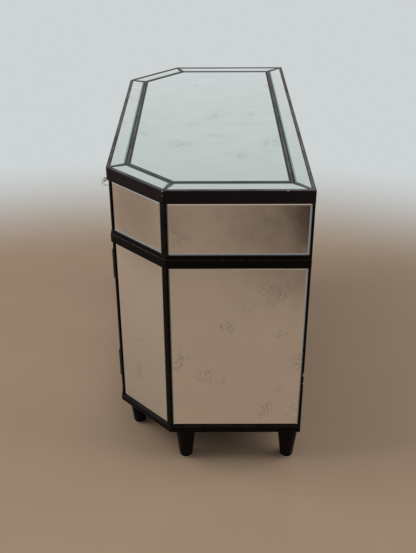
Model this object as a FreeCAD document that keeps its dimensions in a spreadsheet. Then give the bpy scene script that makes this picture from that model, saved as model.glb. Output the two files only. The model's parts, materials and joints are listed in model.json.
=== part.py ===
"""Mirrored chiffonier with canted front corners: one long drawer over a pair of doors.

Millimetres, +Z up. X runs along the length, -Y is the front. The origin is on the floor, midway
along the length and midway between the knob tips and the back. The carcass is board, boxed
between black posts; every outside face is glazed with bevelled mirror, and the six-sided top is
laid with mitred mirror strips between black beads.
"""
import FreeCAD
import Part
import os
import re
import Sketcher
from FreeCAD import Placement, Rotation, Vector

# ---------------------------------------------------------------- driving sizes

SIZES = {
    # the whole piece
    "top_length": 1030,
    "top_depth": 500,
    "total_height": 824,
    "cant_width": 145,        # each side of the 45 degree cut across a front corner
    "overhang": 4,            # the top stands this far past the posts
    # the top: black edge, border mirrors, beads, centre mirror
    "edge_height": 34,
    "edge_width": 10,
    "border_width": 35,
    "bead_width": 13,
    "mitre_width": 9,
    "bead_round": 0.7,
    "top_recess": 0.8,        # glass face below the rim
    # glass
    "glass": 4,
    "glass_gap": 0.4,
    "bevel_width": 5,
    "bevel_drop": 1,
    # carcass
    "board": 15,
    "back_panel": 6,
    "face_recess": 2,         # side mirrors behind the face of the posts
    "post_narrow": 6,
    "post_wide": 13,
    "arris": 1.2,             # the easing of black trim
    "base_band": 20,
    "base_rise": 3,
    "base_strip": 1,
    "frieze": 147,            # drawer tier, from the waist moulding to the top
    "waist_band": 25,
    "waist_rise": 3.5,
    "waist_strip": 9,
    "deck": 15,
    # legs
    "leg_height": 106,        # floor to carcass, felt glide included
    "leg_top": 58,
    "leg_foot": 35,
    "foot_ease": 2,
    "glide": 4,
    "glide_inset": 2,
    "leg_end_inset": 30,
    "leg_back_inset": 31,
    "leg_corner_inset": 40,
    "leg_side_inset": 36,
    "leg_front_inset": 42,
    # shelf
    "shelf": 15,
    "shelf_rise": 236,        # underside of the shelf above the cupboard floor
    "shelf_clear": 2,
    "shelf_setback": 20,
    "batten": 18,
    "batten_height": 22,
    "batten_inset": 12,       # behind the cant's end of the end board
    # drawer
    "drawer_gap": 2,
    "drawer_clear": 60,       # behind the closed drawer
    "front_board": 18,
    "side_board": 12,
    "side_inset": 10,
    "kicker": 22,
    "kicker_gap": 2,
    "back_drop": 10,
    "drawer_bottom": 6,
    "groove": 5,
    "groove_lift": 8,
    "groove_fit": 0.1,
    "runner": 6,
    "runner_fit": 0.3,
    "guide_gap": 1,
    "guide_height": 30,
    "guide_board": 12,
    "stop_height": 24,
    "stop_length": 16,
    # doors
    "door_gap": 2,
    "door_board": 20,
    "stile": 8,               # black strip left round the glass of doors and drawer
    "catch_width": 44,
    "catch_height": 28,
    "catch_depth": 14,
    "strike": 1.5,
    "strike_height": 12,
    "strike_gap": 0.2,
    # knobs
    "knob_reach": 36,         # from the face of the posts to the tip
    "knob_ball": 24,
    "knob_neck": 8,
    "rosette": 18,
    "rosette_height": 2.5,
    "knob_stud": 5,
    "stud_fit": 0.05,
    "knob_end_inset": 290,
    "knob_drop": 100,
    "door_knob_inset": 30,
    "door_knob_drop": 193,    # door knob below the door's top edge
    # hinges
    "hinge_length": 84,
    "hinge_top": 70,          # centre of the upper hinge below the door's top edge
    "hinge_bottom": 101,      # centre of the lower hinge above the door's bottom edge
    "hinge_leaf": 0.8,
    "leaf_width": 16,
    "barrel": 4.6,
    "barrel_clear": 0.3,
    "pin": 2.2,
    "pin_fit": 0.05,
    "pin_out": 2.4,           # pin axis in front of the door's face
    "knuckle_gap": 0.3,
}

KNUCKLES = 3
KNOB_SIDES = 12

# Lines worked out from the driving sizes.
FORMULAS = {
    "top_half": "top_length / 2",
    "top_front": "(knob_reach - overhang - top_depth) / 2",
    "back": "top_front + top_depth",
    "cant_line": "top_half - top_front - cant_width",
    "underside": "total_height - edge_height",
    "glass_bed": "total_height - top_recess - glass",
    "ring_depth": "edge_width + border_width",
    "case_half": "top_half - overhang",
    "case_front": "top_front + overhang",
    "case_cant": "cant_width - overhang * (2 - sqrt(2))",
    "glass_back": "face_recess + glass",
    "post_depth": "face_recess + glass + board",
    "inner_half": "case_half - post_depth",
    "inner_front": "case_front + post_depth",
    "inner_back": "back - back_panel",
    "waist_top": "underside - frieze",
    "waist_level": "waist_top - waist_band",
    "base_top": "leg_height + base_band",
    "opening_half": "case_half - case_cant - post_wide",
    "shelf_half": "inner_half - shelf_clear",
    "drawer_half": "opening_half - side_inset",
    "drawer_inner": "drawer_half - side_board",
    "drawer_end": "inner_back - drawer_clear",
    "side_floor": "waist_top + runner + runner_fit",
    "side_top": "underside - kicker - kicker_gap",
    "shelf_level": "base_top + shelf_rise",
    "bottom_level": "side_floor + groove_lift",
    "door_floor": "base_top + door_gap",
    "door_top": "waist_level - door_gap",
    "pin_x": "opening_half - door_gap / 2",
    "pin_y": "case_front - pin_out",
    "knuckle": "(hinge_length - (knuckle_count - 1) * knuckle_gap) / knuckle_count",
    "knuckle_step": "knuckle + knuckle_gap",
    "knuckle_count": str(KNUCKLES),
    "strike_y": "case_front + door_board",
    "knob_facet": "knob_ball * (1 - sqrt(0.5))",
    "slant": "(sqrt(2) - 1)",
    "slant_spread": "sqrt(4 - 2 * sqrt(2))",
    "square_spread": "sqrt(2)",
}

doc = FreeCAD.newDocument("Chiffonier")
sheet = doc.addObject("Spreadsheet::Sheet", "Sizes")
for row, (alias, number) in enumerate(SIZES.items(), 1):
    sheet.set(f"A{row}", alias)
    sheet.set(f"B{row}", str(number))
    sheet.setAlias(f"B{row}", alias)
doc.recompute()


# ---------------------------------------------------------------- helpers

def sized(formula):
    """Spell a formula of plain size names so that it reads the sheet's cells."""
    def spell(match):
        word = match.group(0)
        if word in SIZES:
            return f"Sizes.{word}"
        if word in FORMULAS:
            return f"({sized(FORMULAS[word])})"
        return word
    return re.sub(r"[a-z_]+", spell, str(formula))


def value(formula):
    """The number that a formula gives now."""
    return float(sheet.evalExpression(sized(formula)))


def bind(thing, **formulas):
    """Tie properties of an object to formulas of the sheet."""
    for name, formula in formulas.items():
        thing.setExpression(name, sized(formula))


def place(thing, at=("0", "0", "0"), turn=0, axis=Vector(0, 0, 1)):
    """Place an object at a point given by three formulas, turned about one axis."""
    thing.Placement = Placement(Vector(), Rotation(axis, turn))
    for letter, formula in zip("xyz", at):
        thing.setExpression(f"Placement.Base.{letter}", sized(formula))
    return thing


def outline(body, name, plane, corners):
    """A closed sketch on one of the body's own planes; every corner is tied to the sheet."""
    sketch = body.newObject("Sketcher::SketchObject", name)
    support = [part for part in body.Origin.OriginFeatures if part.Role == plane][0]
    sketch.AttachmentSupport = [(support, "")]
    sketch.MapMode = "FlatFace"
    points = [Vector(value(across), value(up), 0) for across, up in corners]
    count = len(points)
    for index, point in enumerate(points):
        sketch.addGeometry(Part.LineSegment(point, points[(index + 1) % count]), False)
    for index in range(count):
        sketch.addConstraint(Sketcher.Constraint("Coincident", index, 2, (index + 1) % count, 1))
    for index, (across, up) in enumerate(corners):
        for kind, formula, spot in (("X", across, points[index].x), ("Y", up, points[index].y)):
            number = sketch.addConstraint(Sketcher.Constraint(f"Distance{kind}", -1, 1, index, 1, spot))
            sketch.renameConstraint(number, f"{kind}{index}")
            sketch.setExpression(f"Constraints.{kind}{index}", sized(formula))
    return sketch


def padded(body, name, plane, corners, length, reverse=False):
    """Pad a closed outline."""
    pad = body.newObject("PartDesign::Pad", f"{name}_pad")
    pad.Profile = outline(body, f"{name}_outline", plane, corners)
    pad.Reversed = reverse
    bind(pad, Length=length)
    doc.recompute()
    return pad


def edges_where(feature, test):
    """Names of a feature's edges whose two ends both pass a test, in the body's own frame."""
    return [f"Edge{number}" for number, edge in enumerate(feature.Shape.Edges, 1)
            if all(test(vertex.Point) for vertex in edge.Vertexes)]


def near(number, formula):
    """Whether a coordinate lies at a formula's value."""
    return abs(number - value(formula)) < 1e-4


def rounded(body, base, test, radius):
    """Fillet the edges of a feature that pass a test."""
    fillet = body.newObject("PartDesign::Fillet", f"{base.Name}_fillet")
    fillet.Base = (base, edges_where(base, test))
    bind(fillet, Radius=radius)
    doc.recompute()
    return fillet


def eased(body, base, test, size="arris"):
    """Bevel the edges of a feature that pass a test, equally on both sides."""
    chamfer = body.newObject("PartDesign::Chamfer", f"{base.Name}_ease")
    chamfer.Base = (base, edges_where(base, test))
    bind(chamfer, Size=size)
    doc.recompute()
    return chamfer


def bevelled(body, base, depth):
    """Bevel a pane all round the face that lies at a depth."""
    face = [f"Face{number}" for number, face in enumerate(base.Shape.Faces, 1)
            if all(near(vertex.Point.y, depth) for vertex in face.Vertexes)]
    bevel = body.newObject("PartDesign::Chamfer", f"{base.Name}_bevel")
    bevel.Base = (base, face)
    bevel.ChamferType = "Two distances"
    bind(bevel, Size="bevel_width", Size2="bevel_drop")
    doc.recompute()
    return bevel


def rectangle(low_x, high_x, low_y, high_y):
    """Corners of an upright rectangle."""
    return [(low_x, low_y), (high_x, low_y), (high_x, high_y), (low_x, high_y)]


def box(name, x, y, z):
    """A box between two formulas along each axis."""
    block = doc.addObject("Part::Box", name)
    bind(block, Length=f"({x[1]}) - ({x[0]})", Width=f"({y[1]}) - ({y[0]})", Height=f"({z[1]}) - ({z[0]})")
    return place(block, (x[0], y[0], z[0]))


def rod(name, radius, length, at, turn=0, axis=Vector(1, 0, 0)):
    """A cylinder that starts at a point and runs up, or along the axis that the turn gives."""
    cylinder = doc.addObject("Part::Cylinder", name)
    bind(cylinder, Radius=radius, Height=length)
    return place(cylinder, at, turn, axis)


def fused(name, pieces):
    """Several shapes as one solid."""
    union = doc.addObject("Part::MultiFuse", name)
    union.Shapes = pieces
    union.Refine = True
    return union


def cut(name, base, tools):
    """A shape with other shapes taken out of it."""
    result = doc.addObject("Part::Cut", name)
    result.Base = base
    result.Tool = tools[0] if len(tools) == 1 else fused(f"{name}_tools", tools)
    return result


def group(name, pieces):
    """Like pieces kept together as separate solids."""
    compound = doc.addObject("Part::Compound", name)
    compound.Links = pieces
    return compound


def twin(name, source):
    """The left-hand twin of a right-hand piece."""
    image = doc.addObject("Part::Mirroring", name)
    image.Source = source
    image.Normal = Vector(1, 0, 0)
    return image


def all_round(name, pieces):
    """Right-hand pieces and their twins in one group."""
    return group(name, pieces + [twin(f"{piece.Name}_left", piece) for piece in pieces])


def both(name, source):
    """One right-hand piece and its twin in one group."""
    return all_round(name, [source])


parts = {}


def keep(name, piece):
    """Name a finished sub-part."""
    piece.Label = name
    parts[name] = piece
    return piece


def keep_pair(name, source):
    """Name a right-hand sub-part and its left-hand twin."""
    keep(f"{name}_right", source)
    keep(f"{name}_left", twin(f"{name}_left", source))


# ---------------------------------------------------------------- faces and strips

def plan_faces(half, front, cant):
    """Frames of the right-hand faces of a six-sided plan: start, direction and length.

    Each frame runs anticlockwise along the face, with its second axis pointing inwards.
    """
    return {
        "front": (f"{cant} - {half}", front, 0, f"2 * ({half} - {cant})"),
        "cant": (f"{half} - {cant}", front, 45, f"{cant} * sqrt(2)"),
        "end": (half, f"{front} + {cant}", 90, f"back - {front} - {cant}"),
        "back": (half, "back", 180, f"2 * {half}"),
    }


TOP = plan_faces("top_half", "top_front", "cant_width")
CASE = plan_faces("case_half", "case_front", "case_cant")

# How far a mitre runs along the face for each millimetre of depth, at each end of a face.
MITRES = {
    "front": ("slant", "slant"),
    "cant": ("slant", "slant"),
    "end": ("slant", "1"),
    "back": ("1", "1"),
}
SPREADS = {"slant": "slant_spread", "1": "square_spread"}


def strip(name, face, along, depth, level, mitres=("0", "0")):
    """A straight piece on a face, between two depths and two levels, its ends square or mitred."""
    start_x, start_y, turn, _ = face
    (first, last), (outer, inner), (low, high) = along, depth, level
    corners = [
        (f"({first}) + {mitres[0]} * ({outer})", outer),
        (f"({last}) - {mitres[1]} * ({outer})", outer),
        (f"({last}) - {mitres[1]} * ({inner})", inner),
        (f"({first}) + {mitres[0]} * ({inner})", inner),
    ]
    body = doc.addObject("PartDesign::Body", name)
    pad = padded(body, name, "XY_Plane", corners, f"({high}) - ({low})")
    place(body, (start_x, start_y, low), turn)
    return body, pad


def pane(name, face, along, level):
    """A mirror on a face, let in behind the posts, bevelled round its front edge."""
    depth = ("face_recess", "glass_back")
    body, pad = strip(name, face, along, depth, level)
    bevelled(body, pad, "face_recess")
    return body


def moulding(name, face_name, rise, level):
    """One length of a band planted on the case, mitred to the next, its arrises eased."""
    mitres = ("slant", "0") if face_name == "end" else MITRES[face_name]
    face = CASE[face_name]
    body, pad = strip(name, face, ("0", face[3]), (f"-{rise}", "0"), level, mitres)
    eased(body, pad, lambda point: near(point.y, f"-{rise}"))
    return body


def plan_board(name, half, front, back, cant_inset, level, thickness):
    """A six-sided board; cant_inset is its distance behind the canted edge of the top."""
    line = f"(cant_line - ({cant_inset}) * sqrt(2))"
    corner_x = f"{line} + ({front})"
    corner_y = f"({half}) - {line}"
    right = [(corner_x, front), (half, corner_y), (half, back)]
    left = [(f"-({across})", up) for across, up in reversed(right)]
    body = doc.addObject("PartDesign::Body", name)
    padded(body, name, "XY_Plane", right + left, thickness)
    return place(body, ("0", "0", level))


# ---------------------------------------------------------------- the top

keep("top_board", plan_board("top_board", "top_half - edge_width", "top_front + edge_width",
                             "back - edge_width", "edge_width", "underside",
                             "glass_bed - underside"))

keep("top_mirror", plan_board("top_mirror", "top_half - ring_depth - bead_width - glass_gap",
                              "top_front + ring_depth + bead_width + glass_gap",
                              "back - ring_depth - bead_width - glass_gap",
                              "ring_depth + bead_width + glass_gap", "glass_bed", "glass"))


def top_edge(face_name):
    """A length of the black edge round the top, its upper and lower arrises eased."""
    face = TOP[face_name]
    body, pad = strip(f"top_edge_{face_name}", face, ("0", face[3]), ("0", "edge_width"),
                      ("underside", "total_height"), MITRES[face_name])
    eased(body, pad, lambda point: near(point.y, "0"))
    return body


def ring_bead(face_name):
    """A length of the bead between the border and the centre mirror."""
    face = TOP[face_name]
    body, pad = strip(f"ring_bead_{face_name}", face, ("0", face[3]),
                      ("ring_depth", "ring_depth + bead_width"), ("glass_bed", "total_height"),
                      MITRES[face_name])
    rounded(body, pad, lambda point: near(point.z, "total_height - glass_bed"), "bead_round")
    return body


def border_mirror(face_name):
    """A mirror strip between the edge and the bead, cut back at both ends for the mitre beads."""
    face = TOP[face_name]
    first, last = [f"(mitre_width / 2 + glass_gap) * {SPREADS[mitre]}" for mitre in MITRES[face_name]]
    body, _ = strip(f"border_mirror_{face_name}", face, (first, f"{face[3]} - {last}"),
                    ("edge_width + glass_gap", "ring_depth - glass_gap"),
                    ("glass_bed", "glass_bed + glass"), MITRES[face_name])
    return body


def mitre_bead(before, after, mitre):
    """The bead across the border where two faces meet: a tongue at the edge, a fork at the ring."""
    name = f"mitre_bead_{after}"
    corner_x, corner_y, turn, _ = TOP[after]
    inwards = 90 + (TOP[before][2] + turn) / 2
    half = "mitre_width / 2"
    outer = f"edge_width * {SPREADS[mitre]}"
    inner = f"ring_depth * {SPREADS[mitre]}"
    flare = f"{mitre} * {half}"
    corners = [
        (outer, "0"),
        (f"{outer} + {flare}", f"-{half}"),
        (f"{inner} + {flare}", f"-{half}"),
        (inner, "0"),
        (f"{inner} + {flare}", half),
        (f"{outer} + {flare}", half),
    ]
    body = doc.addObject("PartDesign::Body", name)
    pad = padded(body, name, "XY_Plane", corners, "total_height - glass_bed")
    rounded(body, pad, lambda point: near(point.z, "total_height - glass_bed")
            and not near(point.y, "0"), "bead_round")
    return place(body, (corner_x, corner_y, "glass_bed"), inwards)


top_edges = {face_name: top_edge(face_name) for face_name in TOP}
keep("top_edge_front", top_edges["front"])
keep("top_edge_back", top_edges["back"])
keep("top_edge_cants", both("top_edge_cants", top_edges["cant"]))
keep("top_edge_ends", both("top_edge_ends", top_edges["end"]))


def round_the_top(name, make):
    """The six like pieces round the top: front, back, and a pair on the cants and on the ends."""
    pieces = [make(face_name) for face_name in TOP]
    pieces += [twin(f"{name}_{side}_left", make_side)
               for side, make_side in zip(("cant", "end"), pieces[1:3])]
    return keep(name, group(name, pieces))


round_the_top("ring_beads", ring_bead)
round_the_top("border_mirrors", border_mirror)

mitre_beads = [
    mitre_bead("front", "cant", "slant"),
    mitre_bead("cant", "end", "slant"),
    mitre_bead("end", "back", "1"),
]
keep("mitre_beads", all_round("mitre_beads", mitre_beads))


# ---------------------------------------------------------------- the carcass

CARCASS = ("leg_height", "underside")
END_SPAN = ("post_narrow", f"{CASE['end'][3]} - back_panel")
CANT_SPAN = ("post_narrow", f"{CASE['cant'][3]} - post_wide")
FRONT_SPAN = ("post_wide", f"{CASE['front'][3]} - post_wide")


def corner_post(name, face):
    """A post at a 135 degree corner: narrow on the face it is drawn on, wide on the one before."""
    start_x, start_y, turn, _ = face
    corners = [
        ("0", "0"),
        ("post_narrow", "0"),
        ("post_narrow", "post_depth"),
        ("(post_depth - post_wide) * sqrt(0.5)", "(post_depth + post_wide) * sqrt(0.5)"),
        ("-post_wide * sqrt(0.5)", "post_wide * sqrt(0.5)"),
    ]
    body = doc.addObject("PartDesign::Body", name)
    pad = padded(body, name, "XY_Plane", corners, "underside - leg_height")
    eased(body, pad, lambda point: near(point.x, "0") and near(point.y, "0"))
    return place(body, (start_x, start_y, "leg_height"), turn)


keep_pair("arris_post", corner_post("arris_post", CASE["end"]))
keep_pair("front_post", corner_post("front_post", CASE["cant"]))

back_post, _ = strip("back_post", CASE["end"], (END_SPAN[1], CASE["end"][3]),
                     ("0", "post_depth"), CARCASS)
keep("back_posts", both("back_posts", back_post))

end_board, _ = strip("end_board", CASE["end"], END_SPAN, ("glass_back", "post_depth"), CARCASS)
keep("end_boards", both("end_boards", end_board))

cant_board, _ = strip("cant_board", CASE["cant"], CANT_SPAN, ("glass_back", "post_depth"), CARCASS)
keep("cant_boards", both("cant_boards", cant_board))

# Flush black rails finish the lower edge of each tier of glass.
RAILS = {
    "base": ("leg_height", "base_top + base_strip"),
    "waist": ("waist_level", "waist_top + waist_strip"),
}
rails = [strip(f"{tier}_rail_{face_name}", CASE[face_name], span, ("0", "glass_back"), level)[0]
         for tier, level in RAILS.items()
         for face_name, span in (("end", END_SPAN), ("cant", CANT_SPAN))]
keep("side_rails", all_round("side_rails", rails))

# Mirrors of the ends and cants, one in each tier.
TIERS = {
    "lower": ("base_top + base_strip + glass_gap", "waist_level - glass_gap"),
    "upper": ("waist_top + waist_strip + glass_gap", "underside - glass_gap"),
}
for tier, level in TIERS.items():
    for face_name, span in (("end", END_SPAN), ("cant", CANT_SPAN)):
        along = (f"{span[0]} + glass_gap", f"{span[1]} - glass_gap")
        name = f"{face_name}_mirror_{tier}"
        keep_pair(name, pane(name, CASE[face_name], along, level))

# Rails across the front, above and below the doors.
for name, level in (("base_rail", ("leg_height", "base_top")), ("waist_rail", ("waist_level", "waist_top"))):
    rail, _ = strip(name, CASE["front"], FRONT_SPAN, ("0", "post_depth"), level)
    keep(name, rail)

# Mouldings planted round the case at the waist and at the base.
for name, rise, level in (("waist_moulding", "waist_rise", ("waist_level", "waist_top")),
                          ("base_moulding", "base_rise", ("leg_height", "base_top"))):
    lengths = [moulding(f"{name}_{face_name}", face_name, rise, level)
               for face_name in ("front", "cant", "end")]
    lengths += [twin(f"{length.Name}_left", length) for length in lengths[1:]]
    keep(name, group(name, lengths))


# ---------------------------------------------------------------- legs and inner boards

LEG_SPOTS = {
    "back": ("case_half - leg_end_inset", "back - leg_back_inset"),
    "corner": ("case_half - leg_end_inset", "case_front + case_cant + leg_corner_inset"),
    "front": ("case_half - case_cant - leg_side_inset", "case_front + leg_front_inset"),
}


def turned(name, corners):
    """A body turned about its own upright axis from half of its outline."""
    body = doc.addObject("PartDesign::Body", name)
    revolution = body.newObject("PartDesign::Revolution", f"{name}_turned")
    sketch = outline(body, f"{name}_outline", "XZ_Plane", corners)
    revolution.Profile = sketch
    revolution.ReferenceAxis = (sketch, ["V_Axis"])
    revolution.Angle = 360
    return body


def leg(name, spot):
    """A turned conical leg, eased at the foot."""
    length = "leg_height - glide"
    body = turned(name, [
        ("0", "0"),
        ("leg_foot / 2 - foot_ease", "0"),
        ("leg_foot / 2", "foot_ease"),
        ("leg_top / 2", length),
        ("0", length),
    ])
    return place(body, (*spot, "glide"))


keep("legs", all_round("legs", [leg(f"leg_{name}", spot) for name, spot in LEG_SPOTS.items()]))

glides = [rod(f"glide_{name}", "leg_foot / 2 - glide_inset", "glide", (*spot, "0"))
          for name, spot in LEG_SPOTS.items()]
keep("felt_glides", all_round("felt_glides", glides))

keep("floor_board", plan_board("floor_board", "inner_half", "inner_front", "inner_back",
                               "overhang + post_depth", "leg_height", "base_band"))

keep("drawer_deck", plan_board("drawer_deck", "inner_half", "inner_front", "inner_back",
                               "overhang + post_depth", "waist_top - deck", "deck"))

keep("shelf_board", plan_board("shelf_board", "shelf_half", "inner_front + shelf_setback",
                               "inner_back - shelf_clear",
                               "overhang + post_depth + shelf_clear", "shelf_level", "shelf"))

batten = box("shelf_batten", ("inner_half - batten", "inner_half"),
             ("case_front + case_cant + batten_inset", "inner_back"),
             ("shelf_level - batten_height", "shelf_level"))
keep("shelf_battens", both("shelf_battens", batten))

keep("back_panel", box("back_panel", ("-inner_half", "inner_half"), ("inner_back", "back"), CARCASS))


# ---------------------------------------------------------------- knobs

def knob_ball(name, across, up):
    """A cut-glass ball: twelve sides, bevelled to a flat at the front and at the mount."""
    body = doc.addObject("PartDesign::Body", name)
    corners = [(f"knob_ball / 2 * cos({360 * side / KNOB_SIDES} deg)",
                f"knob_ball / 2 * sin({360 * side / KNOB_SIDES} deg)") for side in range(KNOB_SIDES)]
    pad = padded(body, name, "XY_Plane", corners, "knob_ball")
    eased(body, pad, lambda point: near(point.z, "0"), "knob_facet")
    eased(body, body.Tip, lambda point: near(point.z, "knob_ball"), "knob_facet")
    return place(body, (across, "case_front - knob_reach + knob_ball", up), 90, Vector(1, 0, 0))


def knob_mount(name, across, up, board):
    """A turned brass mount: stud through glass and board, rosette on the glass, neck to the ball."""
    seat = "knob_reach + face_recess - knob_ball"
    body = turned(name, [
        ("0", f"face_recess - {board}"),
        ("knob_stud / 2", f"face_recess - {board}"),
        ("knob_stud / 2", "0"),
        ("rosette / 2", "0"),
        ("rosette / 2", "rosette_height"),
        ("knob_neck / 2", "rosette_height"),
        ("knob_neck / 2", seat),
        ("0", seat),
    ])
    return place(body, (across, "case_front + face_recess", up), 90, Vector(1, 0, 0))


def stud_hole(name, across, up, board):
    """The clearance hole for a knob's stud, through glass and board."""
    return rod(name, "knob_stud / 2 + stud_fit", board, (across, "case_front", up), -90)


# ---------------------------------------------------------------- drawer and door fronts

def glazed_front(name, span, level, board):
    """A board with a rebated field for its mirror, which leaves a black strip all round."""
    width = f"({span[1]}) - ({span[0]})"
    height = f"({level[1]}) - ({level[0]})"
    body = doc.addObject("PartDesign::Body", name)
    pad = padded(body, name, "XZ_Plane", rectangle("0", width, "0", height), board, reverse=True)
    field = body.newObject("PartDesign::Pocket", f"{name}_field")
    field.Profile = outline(body, f"{name}_field_outline", "XZ_Plane",
                            rectangle("stile", f"{width} - stile", "stile", f"{height} - stile"))
    bind(field, Length="glass_back")
    doc.recompute()
    taken = pad.Shape.Volume - field.Shape.Volume
    if not near(taken, f"({width} - 2 * stile) * ({height} - 2 * stile) * glass_back"):
        raise RuntimeError(f"{name}: the field for the mirror is not cut")
    return place(body, (span[0], "case_front", level[0]))


def front_mirror(name, span, level):
    """The bevelled mirror in the field of a front."""
    margin = "(stile + glass_gap)"
    shift = "opening_half + post_wide"
    along = (f"{span[0]} + {shift} + {margin}", f"{span[1]} + {shift} - {margin}")
    return pane(name, CASE["front"], along, (f"{level[0]} + {margin}", f"{level[1]} - {margin}"))


# ---------------------------------------------------------------- the drawer

DRAWER_SPAN = ("-(opening_half - drawer_gap)", "opening_half - drawer_gap")
DRAWER_LEVEL = ("waist_top + drawer_gap", "underside - drawer_gap")
DRAWER_KNOB = ("top_half - knob_end_inset", "total_height - knob_drop")

front_plain = glazed_front("front_plain", DRAWER_SPAN, DRAWER_LEVEL, "front_board")
drawer_holes = both("drawer_stud_holes", stud_hole("drawer_stud_hole", *DRAWER_KNOB, "front_board"))
bottom_slot = box("bottom_slot", ("-drawer_inner - groove - groove_fit", "drawer_inner + groove + groove_fit"),
                  ("case_front + front_board - groove - groove_fit", "drawer_end"),
                  ("bottom_level - groove_fit", "bottom_level + drawer_bottom + groove_fit"))
keep("drawer_front", cut("drawer_front", front_plain, [drawer_holes, bottom_slot]))

drawer_glass = front_mirror("drawer_glass", DRAWER_SPAN, DRAWER_LEVEL)
keep("drawer_mirror", cut("drawer_mirror", drawer_glass, [drawer_holes]))

keep("drawer_knobs", both("drawer_knobs", knob_ball("drawer_knob", *DRAWER_KNOB)))
keep("drawer_knob_mounts", both("drawer_knob_mounts",
                                knob_mount("drawer_knob_mount", *DRAWER_KNOB, "front_board")))

side_plain = box("side_plain", ("drawer_inner", "drawer_half"),
                 ("case_front + front_board", "drawer_end"), ("side_floor", "side_top"))
keep("drawer_sides", both("drawer_sides", cut("drawer_side", side_plain, [bottom_slot])))

keep("drawer_back", box("drawer_back", ("-drawer_inner", "drawer_inner"),
                        ("drawer_end - side_board", "drawer_end"),
                        ("bottom_level + drawer_bottom", "side_top - back_drop")))

keep("drawer_bottom", box("drawer_bottom", ("-drawer_inner - groove", "drawer_inner + groove"),
                          ("case_front + front_board - groove", "drawer_end"),
                          ("bottom_level", "bottom_level + drawer_bottom")))


def drawer_runner():
    """A runner with a guide beside the drawer and a stop block behind it."""
    inner = "drawer_inner"
    guide = "drawer_half + guide_gap"
    outer = f"{guide} + guide_board"
    profile = [
        (inner, "0"),
        (outer, "0"),
        (outer, "guide_height"),
        (guide, "guide_height"),
        (guide, "runner"),
        (inner, "runner"),
    ]
    stop_start = "drawer_end + runner_fit - inner_front"
    body = doc.addObject("PartDesign::Body", "drawer_runner")
    padded(body, "drawer_runner", "XZ_Plane", profile, f"{stop_start} + stop_length", reverse=True)
    stop = rectangle(inner, "drawer_half", stop_start, f"{stop_start} + stop_length")
    padded(body, "drawer_stop", "XY_Plane", stop, "stop_height")
    return place(body, ("0", "inner_front", "waist_top"))


keep("drawer_runners", both("drawer_runners", drawer_runner()))

kicker = box("kicker", ("drawer_inner", "drawer_half"), ("inner_front", "drawer_end"),
             ("side_top + kicker_gap", "underside"))
keep("drawer_kickers", both("drawer_kickers", kicker))


# ---------------------------------------------------------------- the doors

DOOR_SPAN = ("door_gap / 2", "opening_half - door_gap")
DOOR_LEVEL = ("door_floor", "door_top")
DOOR_KNOB = ("door_gap / 2 + door_knob_inset", "door_top - door_knob_drop")

door_plain = glazed_front("door_plain", DOOR_SPAN, DOOR_LEVEL, "door_board")
door_hole = stud_hole("door_stud_hole", *DOOR_KNOB, "door_board")
keep_pair("door", cut("door_board", door_plain, [door_hole]))

door_glass = front_mirror("door_glass", DOOR_SPAN, DOOR_LEVEL)
keep_pair("door_mirror", cut("door_mirror", door_glass, [door_hole]))

keep_pair("door_knob", knob_ball("door_knob", *DOOR_KNOB))
keep_pair("door_knob_mount", knob_mount("door_knob_mount", *DOOR_KNOB, "door_board"))

catch_face = "strike_y + strike + strike_gap"
catch_foot = "waist_top - deck - catch_height"
keep("door_catch", box("door_catch", ("-catch_width / 2", "catch_width / 2"),
                       (catch_face, f"{catch_face} + catch_depth"),
                       (catch_foot, "waist_top - deck")))

strike_plate = box("strike_plate", ("2 * door_gap", "catch_width / 2"), ("strike_y", "strike_y + strike"),
                   ("door_top - strike_gap - strike_height", "door_top - strike_gap"))
keep_pair("strike_plate", strike_plate)


# ---------------------------------------------------------------- butt hinges

HINGE_LEVELS = {
    "lower": "door_floor + hinge_bottom - hinge_length / 2",
    "upper": "door_top - hinge_top - hinge_length / 2",
}


def hinge_leaf(name, level, side, knuckles):
    """The pieces of one leaf of a butt hinge: a plate in the gap and the knuckles on its front edge.

    side is 1 for the leaf on the post and -1 for the leaf on the door's edge.
    """
    outer = f"{side} * door_gap / 2"
    inner = f"{side} * (door_gap / 2 - hinge_leaf)"
    across = [f"pin_x + {edge}" for edge in ((inner, outer) if side > 0 else (outer, inner))]
    root = "pin_y + barrel / 2 + barrel_clear"
    pieces = [box(f"{name}_plate", across, (root, "case_front + leaf_width"),
                  (level, f"{level} + hinge_length"))]
    for index in knuckles:
        foot = f"{level} + {index} * knuckle_step"
        pieces.append(rod(f"{name}_knuckle{index}", "barrel / 2", "knuckle", ("pin_x", "pin_y", foot)))
        pieces.append(box(f"{name}_tongue{index}", across, ("pin_y", root), (foot, f"{foot} + knuckle")))
    return pieces


def post_leaf(spot, level):
    """The leaf on the post, with the pin fast in its knuckles."""
    name = f"post_leaf_{spot}"
    pin = rod(f"{name}_pin", "pin / 2", "hinge_length", ("pin_x", "pin_y", level))
    return fused(name, hinge_leaf(name, level, 1, range(0, KNUCKLES, 2)) + [pin])


def door_leaf(spot, level):
    """The leaf on the door, its knuckles bored to turn on the pin."""
    name = f"door_leaf_{spot}"
    bore = rod(f"{name}_bore", "pin / 2 + pin_fit", "hinge_length", ("pin_x", "pin_y", level))
    rolled = fused(f"{name}_rolled", hinge_leaf(name, level, -1, range(1, KNUCKLES, 2)))
    return cut(name, rolled, [bore])


keep("post_hinge_leaves",
     all_round("post_hinge_leaves", [post_leaf(*hinge) for hinge in HINGE_LEVELS.items()]))
keep_pair("door_hinge_leaves",
          group("door_hinge_leaves", [door_leaf(*hinge) for hinge in HINGE_LEVELS.items()]))


# ---------------------------------------------------------------- check and write

doc.recompute()
for thing in doc.Objects:
    if {"Invalid", "Error"} & set(thing.State):
        raise RuntimeError(f"{thing.Name} failed: {thing.State}")
for name, piece in parts.items():
    if piece.Shape.isNull() or not piece.Shape.isValid() or not piece.Shape.Solids:
        raise RuntimeError(f"{name} has no sound solid")

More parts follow.
